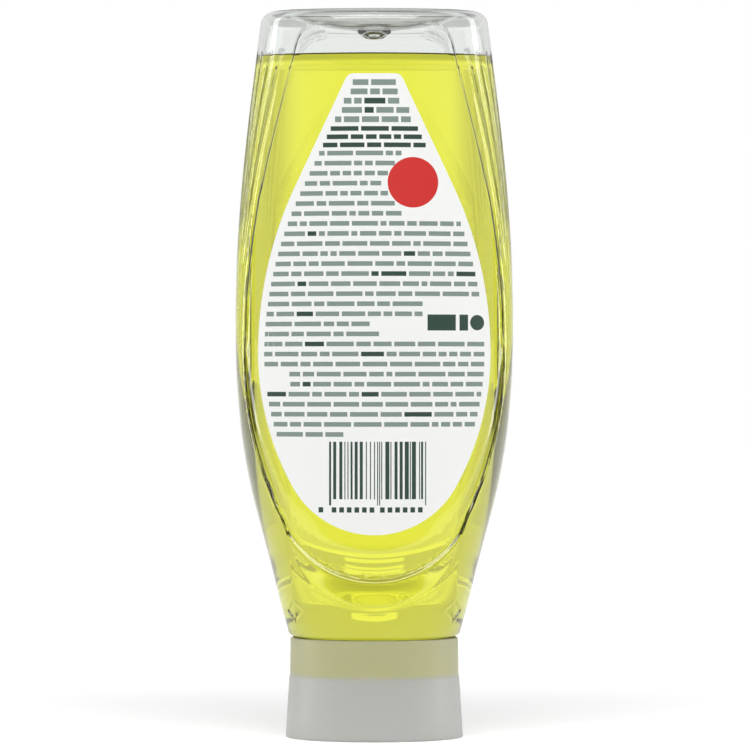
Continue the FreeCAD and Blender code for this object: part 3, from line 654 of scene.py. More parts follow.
    def side_places(self, level: float) -> np.ndarray:
        """Shares of the way from a side's middle to its crease, closer together at the flutes."""
        near = np.array(self.flute_points) / self.side_half_length
        places = [share + near for share in self.flute_shares]
        stops = (-1.0, *self.flute_shares, 1.0)
        for low, high in zip(stops, stops[1:]):
            count = 5 if high - low > self.wide_land else 4
            places.append(np.linspace(low, high, count)[1:-1])
        places = np.unique(np.round(np.concatenate(places), 3))
        places = places[np.abs(places) < self.side_reach]
        even = np.linspace(-1, 1, len(places) + 2)[1:-1]
        away = np.abs(even)
        corner = self.corner_even * away
        corner = corner + (1 - self.corner_even) * (1 - (1 - away) ** self.corner_crowding)
        corner = np.sign(even) * corner
        share = self.lower_share(level)
        return share * corner + (1 - share) * places

    def raw_ring(self, level: float, inset: float) -> tuple[np.ndarray, np.ndarray]:
        """Points round the section at a level, and where each is on its side.

        Args:
            level: Height of the section.
            inset: Distance that the section is moved in by.

        Returns:
            Rows of x and y, counterclockwise from the front's left crease, and each point's share
            of the way from its side's middle to the crease, or ON_FRONT.
        """
        at_level = [float(self.splines[name].at(level)) for name in SPLINED]
        width, depth, crease, radius = at_level
        width, depth, radius = width - inset, depth - inset, radius - inset
        crease -= self.crease_inset * inset
        corner = depth - radius + math.sqrt(radius ** 2 - crease ** 2)
        edge = crease - self.panel_margin
        margin = np.linspace(edge, crease, self.margin_count + 1)[1:]
        inner = self.front_places(level) * edge
        across = np.concatenate([-margin[::-1], inner, margin])
        front_depth = depth - radius + np.sqrt(radius ** 2 - across ** 2)
        front = np.column_stack([across, -front_depth])
        side_radius = ((width - crease) ** 2 + corner ** 2) / (2 * (width - crease))
        middle = width - side_radius
        span = math.atan2(corner, crease - middle)
        shares = self.side_places(level)
        side = np.column_stack([middle + side_radius * np.cos(shares * span),
                                side_radius * np.sin(shares * span)])
        ring = np.vstack([front, side, front[::-1] * (1, -1), side[::-1] * (-1, 1)])
        plain = np.full(len(front), ON_FRONT)
        return ring, np.concatenate([plain, shares, plain, shares[::-1]])

    def ring(self, level: float, inset: float = 0.0) -> np.ndarray:
        """The section's ring with its creases rounded off."""
        raw, _ = self.raw_ring(level, inset)
        closed = np.vstack([raw, raw[:1]])
        steps = np.hypot(*np.diff(closed, axis=0).T)
        run = np.concatenate([[0], np.cumsum(steps)])
        count = self.smoothing_points
        even = np.arange(count) * run[-1] / count
        spread = self.crease_softness / (run[-1] / count)
        waves = np.exp(-0.5 * (2 * math.pi * np.fft.rfftfreq(count) * spread) ** 2)
        ring = np.empty_like(raw)
        for axis in (0, 1):
            line = np.interp(even, run, closed[:, axis])
            soft = np.fft.irfft(np.fft.rfft(line) * waves, count)
            ring[:, axis] = np.interp(run[:-1], np.append(even, run[-1]),
                                      np.append(soft, soft[0]))
        return ring

    def plain_depth(self, across: np.ndarray, level: np.ndarray) -> np.ndarray:
        """Half depth of the front before anything is pressed into it."""
        depth = self.splines["half_depth"].at(level)
        radius = self.splines["front_radius"].at(level)
        return depth - radius + np.sqrt(np.maximum(radius ** 2 - across ** 2, 0))

    def shape_front(self, points: np.ndarray, sharp: bool = True) -> np.ndarray:
        """Press the panels and the crescent ledges into a grid of points.

        Args:
            points: Grid of x, y and z, rings by points.
            sharp: Whether the fine groove at the panel's lower edge is cut, as only outside.

        Returns:
            The grid with the depth of its front and back changed.
        """
        across, depth, level = points[..., 0], points[..., 1], points[..., 2]
        base = np.abs(depth)
        crease = self.splines["crease"].at(level)
        depth_in = self.panel.depth_inside(across, level)
        inner = self.panel.lower_edge(across)
        scoop = self.scoop_depth * smooth_step(self.scoop_rise, 0.0, level - inner)
        panel = self.panel_depth_at(across, level) - scoop
        climb = self.ledge_tip_rise - self.ledge_rise
        radius = (self.ledge_half_width ** 2 + climb ** 2) / (2 * climb)
        middle = self.shoulder + self.ledge_rise + radius
        below = np.maximum(-depth_in, 0)
        above = radius - np.hypot(across, level - middle)
        reach = np.clip(np.abs(across), 0, radius - self.arc_end)
        outer = middle - np.sqrt(radius ** 2 - reach ** 2)
        share = np.clip(below / np.maximum(below + np.maximum(above, 0), self.least_ledge), 0, 1)
        foot = self.panel_depth_at(across, inner) - self.scoop_depth
        lip = self.plain_depth(across, outer) + self.ridge_height
        wide = np.clip((inner - outer) / self.full_ledge, 0, 1)
        step = self.step_height * smooth_step(0.0, self.step_width, below)
        rising = smooth_step(self.ramp_start, 1.0, share)
        ramp = foot + step + (lip - foot - self.step_height) * rising
        beyond = np.exp(-np.minimum(above, 0) ** 2 / (2 * self.ridge_width ** 2))
        ridge = base + self.ridge_height * beyond
        ledge = np.where(above > 0, ramp, ridge)
        within = smooth_step(0, self.ledge_fade, crease - np.abs(across)) * wide
        near = (depth_in <= 0) & (above > -self.ridge_reach * self.ridge_width)
        near &= level < inner + self.arc_end
        shaped = np.where(near, ledge * within + base * (1 - within), base)
        softness = self.edge_softness * (1 - self.ledge_sharpness * wide)
        weight = smooth_step(-1.0, 1.0, depth_in / softness)
        shaped = shaped * (1 - weight) + np.minimum(panel, shaped) * weight
        if sharp:
            groove = np.exp(-(depth_in / self.groove_width) ** 2 / 2) * wide * within
            aside = smooth_step(*self.groove_deepens, np.abs(across))
            depth_share = self.groove_middle + (1 - self.groove_middle) * aside
            shaped = shaped - groove * self.groove_depth * depth_share
        front = np.abs(across) < crease
        result = points.copy()
        result[..., 1] = np.where(front, np.sign(depth) * shaped, depth)
        return result

    def levels(self, fine_step: float) -> list[float]:
        """Levels of the rings up the body: close together at the ledge and at the top."""
        low, high = self.shoulder + self.shoulder_round, self.top - self.crown_round
        fine_end = self.panel.foot + self.fine_rise
        fine_again = self.panel.top - self.coarse_end
        fine = np.arange(low, fine_end, fine_step)
        coarse = np.arange(fine_end, fine_again, self.coarse_step)
        upper = np.arange(fine_again, high - 0.4, self.top_step)
        return [*fine, *coarse, *upper, high]

    def side_relief(self, points: np.ndarray, shares: np.ndarray, normals: np.ndarray,
                    fluted: bool = True) -> np.ndarray:
        """Press the flutes and the corner dimples into a grid of points.

        Args:
            points: Grid of x, y and z, rings by points.
            shares: Each point's share along its side, or ON_FRONT.
            normals: Outward unit vectors at the points.
            fluted: Whether the flutes are cut, which only the outside has.

        Returns:
            The grid with its sides shaped.
        """
        result = points.copy()
        level = points[..., 2]
        done = (self.flute_top - level) / self.flute_length
        fade = smooth_step(-self.flute_start, 0.0, done) * fluted
        fade = fade * np.clip(1 - np.clip(done, 0, 1) ** self.flute_run_out, 0, 1)
        length = self.side_length(points, shares)
        for side in self.flute_shares:
            gap = (shares - side) * length
            hollow = np.clip(1 - (gap / self.flute_half_width) ** 2, 0, 1)
            result -= normals * (self.flute_depth * fade * hollow)[..., None]
        sunk = np.zeros(level.shape)
        corners = self.corner_indices(shares[0])
        steps = np.linalg.norm(np.diff(points, axis=1, append=points[:, :1]), axis=2)
        run = np.cumsum(steps, axis=1) - steps
        total = steps.sum(1, keepdims=True)
        height = level - self.shoulder - self.dimple_rise
        for corner, side in corners:
            along = (run - run[:, corner:corner + 1]) * side
            along = (along + total / 2) % total - total / 2
            along = along - self.dimple_slant * height
            half = np.where(along > 0, self.dimple_side_width, self.dimple_front_width)
            inside = 1 - np.abs(height) / self.dimple_half_height - np.abs(along) / half
            pressed = smooth_step(0, self.dimple_edge, inside) * self.dimple_depth
            sunk = np.maximum(sunk, pressed)
        return result - normals * sunk[..., None]

    def corner_indices(self, shares: np.ndarray) -> list[tuple[int, int]]:
        """Ring position of each crease, and whether the side runs on (1) or back (-1) from it."""
        front = len(self.front_places(0.0)) + 2 * self.margin_count
        side = (len(shares) - 2 * front) // 2
        return [(front - 1, 1), (front + side, -1), (2 * front + side - 1, 1), (0, -1)]

    def side_length(self, points: np.ndarray, shares: np.ndarray) -> np.ndarray:
        """Half the length of the side's arc at each ring."""
        on_side = np.flatnonzero(shares[0] < ON_FRONT)
        half = len(on_side) // 2
        arc = points[:, on_side[:half], :2]
        length = np.hypot(*np.moveaxis(np.diff(arc, axis=1), -1, 0)).sum(1)
        covered = shares[:, on_side[half - 1]] - shares[:, on_side[0]]
        return (length / covered)[:, None]


def grid_normals(points: np.ndarray) -> np.ndarray:
    """Outward normals of a grid of rings that go up, closed along each ring."""
    along = np.roll(points, -1, axis=1) - np.roll(points, 1, axis=1)
    up = np.gradient(points, axis=0)
    normals = np.cross(along, up)
    return normals / np.maximum(np.linalg.norm(normals, axis=2, keepdims=True), 1e-9)


@dataclass
class Bottle:
    """The blown body: outer surface, inner surface and the neck that the cap holds."""

    form: BottleForm
    deck_level: float = 20.2
    neck_radius: float = 23.5
    neck_wall: float = 1.6
    bead: float = 0.5
    bead_rise: float = 4.6
    wall: float = 0.8
    push_wall: float = 1.2
    lip_round: float = 0.4
    shoulder_fillet: float = 0.5
    plain_step: float = 0.9
    wet_level: float = 223.3

    def directions(self) -> np.ndarray:
        """Unit vectors towards the ring's points at the round foot of the body."""
        ring = self.form.ring(self.form.stations[0].level)
        return ring / np.hypot(ring[:, 0], ring[:, 1])[:, None]

    def circle(self, radius: float, level: float) -> np.ndarray:
        """Ring of points on a circle about the axis."""
        turned = self.directions() * radius
        return np.column_stack([turned, np.full(len(turned), level)])

    def body_rows(self, outside: bool = True) -> np.ndarray:
        """Rings from the body's foot round to the round at its top.

        Args:
            outside: Whether the fine relief is cut; the inside of a blown wall is smoother.

        Returns:
            Grid of points, rings by points.
        """
        form = self.form
        rows = []
        low = form.shoulder + form.shoulder_round
        for turn in np.linspace(0, math.pi / 2, 7)[:-1]:
            inset = form.shoulder_round * (1 - math.sin(turn))
            ring = form.ring(low, inset)
            level = low - form.shoulder_round * math.cos(turn)
            rows.append(np.column_stack([ring, np.full(len(ring), level)]))
        for level in form.levels(form.fine_step if outside else self.plain_step):
            ring = form.ring(level)
            rows.append(np.column_stack([ring, np.full(len(ring), level)]))
        high = form.top - form.crown_round
        for turn in np.linspace(0, math.pi / 2, 9)[1:]:
            ring = form.ring(high, form.crown_round * (1 - math.cos(turn)))
            level = high + form.crown_round * math.sin(turn)
            rows.append(np.column_stack([ring, np.full(len(ring), level)]))
        points = form.shape_front(np.array(rows), outside)
        shares = np.array([form.raw_ring(min(max(row[0, 2], low), high), 0.0)[1] for row in rows])
        return form.side_relief(points, shares, grid_normals(points), outside)

    def push_rows(self, count: int, grow: float = 0.0) -> np.ndarray:
        """Rings of the push-up from its rim to the tip of the gate nub.

        Args:
            count: Points in each ring.
            grow: Distance that the surface is moved down and outward by.

        Returns:
            Grid of points, rings by points.
        """
        form = self.form
        turned = self.directions()
        angle = np.arctan2(turned[:, 1], turned[:, 0])
        around = np.column_stack([np.cos(angle), np.sin(angle)])
        rows = []
        rim = math.asin(form.push_lift / form.push_height)
        gate = form.gate_radius - self.push_wall
        across = np.array((form.push_half_width, form.push_half_depth)) + grow
        for turn in np.linspace(rim, math.acos(gate / form.push_half_width), 16):
            level = form.top + form.push_lift - (form.push_height + grow) * math.sin(turn)
            rows.append(np.column_stack([around * across * math.cos(turn),
                                         np.full(count, level)]))
        start = rows[-1]
        tip = form.gate_tip_radius - self.push_wall
        bottom = form.top + form.push_lift - form.push_height - form.gate_height - grow
        bottom_edge = bottom + form.gate_round
        for share in (0.15, 0.35, 0.6, 0.85, 1.0):
            radius = gate + (tip - gate) * share + grow
            blend = min(1.0, share * form.gate_blend)
            mixed = start * (1 - blend)
            mixed[:, :2] += around * radius * blend
            mixed[:, 2] = start[0, 2] + (bottom_edge - start[0, 2]) * share
            rows.append(mixed)
        for share in (0.3, 0.65, 0.95):
            radius = (tip + grow) * math.cos(share * math.pi / 2)
            level = bottom + form.gate_round * (1 - math.sin(share * math.pi / 2))
            rows.append(np.column_stack([around * radius, np.full(count, level)]))
        return np.array(rows)

    def surfaces(self) -> tuple[np.ndarray, np.ndarray]:
        """Outer and inner grids of the whole body, from the neck's lip to the gate nub."""
        form = self.form
        body = self.body_rows()
        count = body.shape[1]
        bead = self.deck_level + self.bead_rise
        neck = [self.circle(self.neck_radius + out, level) for out, level in (
            (-self.lip_round, self.deck_level),
            (0, self.deck_level + self.lip_round),
            (0, bead),
            (self.bead, bead + self.bead),
            (self.bead, bead + 2 * self.bead),
            (0, bead + 3 * self.bead),
            (0, form.shoulder - self.shoulder_fillet),
            (0.15, form.shoulder - 0.15),
            (self.shoulder_fillet, form.shoulder),
        )]
        outer_push = self.push_rows(count)
        flat = body[-1] * 0.5 + outer_push[0] * 0.5
        outer = np.concatenate([np.array(neck), body, flat[None], outer_push])
        plain = self.body_rows(outside=False)
        inner_body = plain - grid_normals(plain) * self.wall
        inner_push = self.push_rows(count, self.push_wall)
        ceiling = form.top - self.push_wall
        rim = inner_body[-1] * (1, 1, 0) + np.array((0, 0, ceiling))
        first = np.column_stack([inner_push[0][:, :2], np.full(count, ceiling)])
        middle = rim * 0.5 + first * 0.5
        bore = self.neck_radius - self.neck_wall
        inside = [self.circle(bore + out, level) for out, level in (
            (0.3, self.deck_level),
            (0, self.deck_level + self.lip_round),
            *[(0, ring[0, 2]) for ring in neck[2:6]],
            (0, form.shoulder + 0.2),
            (0.2, form.shoulder + 0.6),
            (0.8, form.shoulder + self.wall),
        )]
        inner = np.concatenate([np.array(inside), inner_body[:-1],
                                rim[None] * 0.7 + middle[None] * 0.3,
                                middle[None], first[None], inner_push[1:]])
        LOG.info("grids of %s outer and %s inner points", outer.shape[:2], inner.shape[:2])
        return outer, inner

    def build(self) -> bpy.types.Object:
        """Build the bottle, with a finish of its own where the liquid wets it."""
        outer, inner = self.surfaces()
        count = outer.shape[1]
        tip_out = outer[-1].mean(0)
        tip_in = inner[-1].mean(0)
        vertices = np.vstack([outer.reshape(-1, 3), inner.reshape(-1, 3), [tip_out, tip_in]])
        first_inner = outer.shape[0] * count
        faces = ring_faces(outer.shape[0], count)
        inward = [face[::-1] for face in ring_faces(inner.shape[0], count, first_inner)]
        last_out, last_in = first_inner - count, first_inner + (inner.shape[0] - 1) * count
        tip = len(vertices) - 2
        for step in range(count):
            after = (step + 1) % count
            faces.append((last_out + step, last_out + after, tip))
            inward.append((last_in + after, last_in + step, tip + 1))
            faces.append((step, first_inner + step, first_inner + after, after))
        highest = [max(vertices[corner][2] for corner in face) for face in inward]
        wet = [int(level <= self.wet_level + 0.05) for level in highest]
        bottle = make_piece("bottle_body", vertices, faces + inward,
                            [BlownPet().material(), BlownPet(reflects=False).material()],
                            [0] * len(faces) + wet)
        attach(bottle, "root")
        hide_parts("bottle")
        return bottle


@dataclass
class Soap:
    """The liquid: its wetted sides, its top with a meniscus, and the column inside the neck."""

    bottle: Bottle
    level: float = 222.3
    rise: float = 1.0
    meniscus: float = 0.6
    overlap: float = 0.1
    clear: float = 0.05
    plug_radius: float = 20.5
    plug_top: float = 23.6
    pocket_radius: float = 11.0
    baffle_level: float = 14.8
    meniscus_gaps: tuple = (0.12, 0.28, 0.48, 0.75, 1.1, 1.6, 2.4)

    def build(self) -> bpy.types.Object:
        """Build the liquid as one closed piece."""
        _, inner = self.bottle.surfaces()
        deck = self.bottle.deck_level
        contact = self.level + self.rise
        levels = inner[:, :, 2].mean(1)
        peak = int(np.argmax(levels))
        usable = [row for row in range(6, peak) if levels[row] < contact - 0.4]
        side = inner[usable]
        normals = grid_normals(side)
        flat = normals * (1, 1, 0)
        side = side + normals * self.overlap
        upper, lower = inner[usable[-1] + 1], inner[usable[-1]]
        share = (contact - lower[0, 2]) / (upper[0, 2] - lower[0, 2])
        last = lower + (upper - lower) * share + flat[-1] * self.overlap
        last[:, 2] = contact
        inward = -flat[-1] / np.maximum(np.linalg.norm(flat[-1], axis=1, keepdims=True), 1e-6)
        top_rows = []
        settled = math.exp(-self.meniscus_gaps[-1] / self.meniscus)
        for gap in self.meniscus_gaps:
            ring = last + inward * gap
            ring[:, 2] = self.level + self.rise * (math.exp(-gap / self.meniscus) - settled)
            top_rows.append(ring)
        edge = top_rows[-1]
        top_rows += [edge * (share, share, 1) for share in (0.66, 0.33, 0.05)]
        floor = self.baffle_level + self.clear
        pocket, plug = self.pocket_radius - self.clear, self.plug_radius - self.clear
        bore = self.bottle.neck_radius - self.bottle.neck_wall + self.overlap
        base = [self.bottle.circle(radius, level) for radius, level in (
            (0.5, floor),
            (pocket * 0.6, floor),
            (pocket, floor),
            (pocket, deck + self.clear),
            (plug, deck + self.clear),
            (plug, self.plug_top + self.clear),
            (bore, self.plug_top + self.clear),
            (bore, self.bottle.form.shoulder - 0.2),
        )]
        grid = np.concatenate([np.array(base), side, last[None], np.array(top_rows)])
        count = grid.shape[1]
        vertices = np.vstack([grid.reshape(-1, 3), [(0, 0, floor), (0, 0, self.level)]])
        faces = ring_faces(grid.shape[0], count)
        bottom, top = len(vertices) - 2, len(vertices) - 1
        end = (grid.shape[0] - 1) * count
        for step in range(count):
            after = (step + 1) % count
            faces.append((after, step, bottom))
            faces.append((end + step, end + after, top))
        start_top = (len(base) + len(side)) * count
        free = [int(min(face) >= start_top and max(face) != bottom) for face in faces]
        soap = make_piece("dish_soap_liquid", vertices, faces,
                          [SoapLiquid().material(), SoapLiquid(free_surface=True).material()], free)
        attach(soap, "root")
        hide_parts("dish_soap")
        return soap


class Facing(Enum):
    """Side of the bottle that a label is on, as the sign of Y."""

    SMALL_PRINT = -1
    COLOUR_FIELDS = 1


@dataclass
class Label:
    """A drop-shaped film that follows its panel, with its print as thin layers of ink."""

    form: BottleForm
    facing: Facing
    film: float = 0.12
    sunk: float = 0.05
    ink: float = 0.012
    outline: Drop = field(init=False)

    def __post_init__(self) -> None:
        """Place the outline on the panel."""
        base = self.form.shoulder
        self.outline = Drop(foot=base + 33.9, wide=base + 92.9, straight=base + 146.9,
                            top=base + 183.4, half_width=37.8, low_radius=89.0,
                            high_radius=126.5, corner=3.0)

    def place(self, across: np.ndarray, level: np.ndarray, proud: float) -> np.ndarray:
        """Points on the panel, a given height above its surface."""
        depth = self.form.panel_depth_at(across, level)
        slope = across / self.form.panel_radius
        lift = np.sqrt(np.maximum(1 - slope ** 2, 0))
        side = self.facing.value
        return np.column_stack([-side * (across + slope * proud), side * (depth + lift * proud),
                                level + 0 * across])

    def stock(self) -> PlainFinish:
        """The film's finish."""
        return PlainFinish("label_film", "#fafbf9", 0.35, 1.49, grain_mm=0.8, mottle=0.006)

    def film_piece(self, name: str) -> bpy.types.Object:
        """Build the film as one closed piece."""
        outline = self.outline
        turn = np.linspace(0, math.pi, 150)[1:-1]
        levels = outline.foot + (outline.top - outline.foot) * (1 - np.cos(turn)) / 2
        spread = np.sin(np.linspace(-math.pi / 2, math.pi / 2, 61))
        rows, count = len(levels), len(spread)
        across = np.array([spread * outline.width_at(level) for level in levels])
        heights = np.repeat(levels, count)
        front = self.place(across.ravel(), heights, self.film)
        back = self.place(across.ravel(), heights, -self.sunk)
        half = rows * count
        faces, edge = [], []
        for row in range(rows - 1):
            for step in range(count - 1):
                low = row * count + step
                faces.append((low, low + 1, low + count + 1, low + count))
                low += half
                faces.append((low, low + count, low + count + 1, low + 1))
        for row in range(rows - 1):
            left, right = row * count, (row + 1) * count - 1
            for low, high in ((left, left + count), (right + count, right)):
                edge.append((low, high, half + high, half + low))
        for step in range(count - 1):
            edge.append((step + 1, step, half + step, half + step + 1))
            high = (rows - 1) * count + step
            edge.append((high, high + 1, half + high + 1, half + high))
        piece = make_piece(name, np.vstack([front, back]), faces + edge, [self.stock().material()])
        piece.data.polygons.foreach_set("use_smooth", [True] * len(faces) + [False] * len(edge))
        return piece

    def patch(self, corners: list[tuple[float, float]]) -> tuple[list, list]:
        """A thin layer of ink on the film.

        Args:
            corners: Outline of the patch as across and level, convex, counterclockwise.

        Returns:
            The points and faces of a closed layer.
        """
        outline = np.array(corners)
        low, high = outline[:, 0].min(), outline[:, 0].max()
        if len(corners) > 4:
            cuts = np.sort(outline[:, 0])[[0, *range(1, len(corners) - 1, 2), len(corners) - 1]]
            columns = len(cuts)
        else:
            columns = max(2, int((high - low) / 2.0) + 2)
            cuts = np.linspace(low, high, columns)
        closed = np.vstack([outline, outline[:1]])
        spans = []
        for cut in cuts:
            hits = []
            for (ax, az), (bx, bz) in zip(closed, closed[1:]):
                if min(ax, bx) - 1e-9 <= cut <= max(ax, bx) + 1e-9:
                    upright = abs(bx - ax) < 1e-9
                    hits += [az, bz] if upright else [az + (bz - az) * (cut - ax) / (bx - ax)]
            spans.append((min(hits), max(hits)))
        across = np.repeat(cuts, 2)
        level = np.array(spans).ravel()
        points = np.vstack([self.place(across, level, self.film + self.ink),
                            self.place(across, level, self.film - self.ink)])
        half = 2 * columns
        faces = []
        for step in range(columns - 1):
            at = 2 * step
            faces.append((at, at + 2, at + 3, at + 1))
            faces.append((half + at, half + at + 1, half + at + 3, half + at + 2))
            faces.append((at, half + at, half + at + 2, at + 2))
            faces.append((at + 1, at + 3, half + at + 3, half + at + 1))
        faces.append((0, 1, half + 1, half))
        end = half - 2
        faces.append((end, half + end, half + end + 1, end + 1))
        return points.tolist(), faces

    def ink_piece(self, name: str, patches: list, finish: PlainFinish) -> bpy.types.Object:
        """Join patches of one ink into a piece."""
        vertices, faces = [], []
        for corners in patches:
            points, rows = self.patch(corners)
            faces += [tuple(corner + len(vertices) for corner in face) for face in rows]
            vertices += points
        piece = make_piece(name, np.array(vertices), faces, [finish.material()], smooth=False)
        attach(piece, "root")
        return piece


def bar(left: float, right: float, low: float, high: float) -> list[tuple[float, float]]:
    """Corners of an upright rectangle, given its sides."""
    return [(left, low), (right, low), (right, high), (left, high)]


def oval(across: float, level: float, half_width: float, half_height: float) -> list:
    """Corners of an ellipse."""
    turns = np.linspace(0, 2 * math.pi, 48, endpoint=False)
    return [(across + half_width * math.cos(turn), level + half_height * math.sin(turn))
            for turn in turns]


@dataclass
class BackLabel(Label):
    """The label with the small print, which becomes bars and plain shapes."""

    heading_pitch: float = 3.0
    bold_pitch: float = 2.65
    line_pitch: float = 3.254
    text_height: float = 1.5
    side_gap: float = 2.0
    word_gap: float = 0.85
    rows: int = 37
    heading_rows: int = 5
    bold_rows: tuple = (5, 6, 7)
    seed: int = 11
    shortest: float = 0.9
    word_lengths: tuple = (1.8, 9.0)
    heavy_share: float = 0.05
    right_ends: dict = field(default_factory=lambda: {
        23: 15.6, 24: 15.6, 25: -1.5, 26: 1.5, 36: -10.0})
    indents: dict = field(default_factory=lambda: {30: 8.0, 31: 8.0})
    module: float = 0.33
    code_ends: tuple = (-14.6, 17.2)
    code_feet: tuple = (76.6, 78.6)
    code_top: float = 97.2

    def row_ends(self, row: int, level: float) -> tuple[float, float]:
        """Where a row of print starts and ends, clear of the edge, the spot and the blocks."""
        outline = self.outline
        half = min(outline.width_at(level + 1.7), outline.width_at(level - 0.2)) - self.side_gap
        left, right = -half, half
        if row < self.heading_rows:
            left, right = left + 0.8 * (row % 2), right - 0.9 * (row % 3)
        if 8 <= row <= 14:
            right = min(right, 2.2 + 2.2 * abs(row - 11))
        return left + self.indents.get(row, 0.0), self.right_ends.get(row, right)

    def word_lines(self) -> tuple[list, list]:
        """Rows of bars that stand for the words, plain and bold."""
        rng = random.Random(self.seed)
        plain, bold = [], []
        level = self.outline.top - 2.9
        for row in range(self.rows):
            left, right = self.row_ends(row, level)
            height = self.text_height * (1.25 if row < self.heading_rows else 1.0)
            at = left
            while at < right - self.shortest:
                long = rng.uniform(*self.word_lengths)
                if at + long > right - 2.0:
                    long = right - at
                heavy = row in self.bold_rows or rng.random() < self.heavy_share
                word = bar(at, at + long, level - height / 2, level + height / 2)
                (bold if heavy else plain).append(word)
                at += long + self.word_gap
            if row < self.heading_rows:
                level -= self.heading_pitch
            else:
                level -= self.bold_pitch if row in self.bold_rows else self.line_pitch
        return plain, bold

    def code_bars(self) -> list:
        """Uneven bars of the code field, and the blocks where its figures would be."""
        rng = random.Random(self.seed + 1)
        (left, right), (guard_foot, foot) = self.code_ends, self.code_feet
        bars, at = [], left
        while at < right:
            wide = self.module * rng.choice((1, 1, 1, 2, 2, 3, 4))
            guard = at < left + 1.0 or at > right - 1.2 or abs(at - (left + right) / 2) < 0.8
            low = guard_foot if guard else foot
            bars.append(bar(at, min(at + wide, right), low, self.code_top))
            at += wide + self.module * rng.choice((1, 1, 2, 2, 3))
        for index in range(13):
            start = -18.0 + index * 2.45 + (1.8 if index else 0.0) + (0.9 if index > 6 else 0.0)
            bars.append(bar(start, start + 1.5, 74.3, 76.0))
        return bars

    def build(self) -> list[bpy.types.Object]:
        """Build the film and its print."""
        film = self.film_piece("back_label_film")
        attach(film, "root")
        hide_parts("back_label")
        plain, bold = self.word_lines()
        grey = PlainFinish("text_ink", "#83948a", 0.4)
        green = PlainFinish("dark_green_ink", "#234033", 0.4)
        red = PlainFinish("red_ink", "#d32a26", 0.4)
        blocks = [bar(17.2, 26.4, 133.2, 138.4), bar(27.6, 30.4, 133.2, 138.4)]
        return [film, self.ink_piece("back_label_text", plain, grey),
                self.ink_piece("back_label_bold", bold + self.code_bars() + blocks, green),
                self.ink_piece("back_label_ring", [oval(33.4, 135.8, 2.3, 2.5)], green),
                self.ink_piece("back_label_spot", [oval(12.5, 181.2, 8.2, 8.2)], red)]


@dataclass
class FrontLabel(Label):
    """The label on the other side: clear film with plain fields of colour."""

    def stock(self) -> ClearFilm:
        """Clear film, which lets the liquid show between the fields."""
        return ClearFilm()

    def build(self) -> list[bpy.types.Object]:
        """Build the film and its fields of colour."""
        film = self.film_piece("front_label_film")
        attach(film, "root")
        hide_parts("front_label")
        green = PlainFinish("leaf_green_ink", "#4f9a3a", 0.4)
        yellow = PlainFinish("lemon_ink", "#f2d231", 0.4)
        return [film, self.ink_piece("front_label_oval", [oval(0.0, 150.0, 24.0, 13.0)], green),
                self.ink_piece("front_label_disc", [oval(0.0, 103.0, 17.0, 17.0)], yellow)]


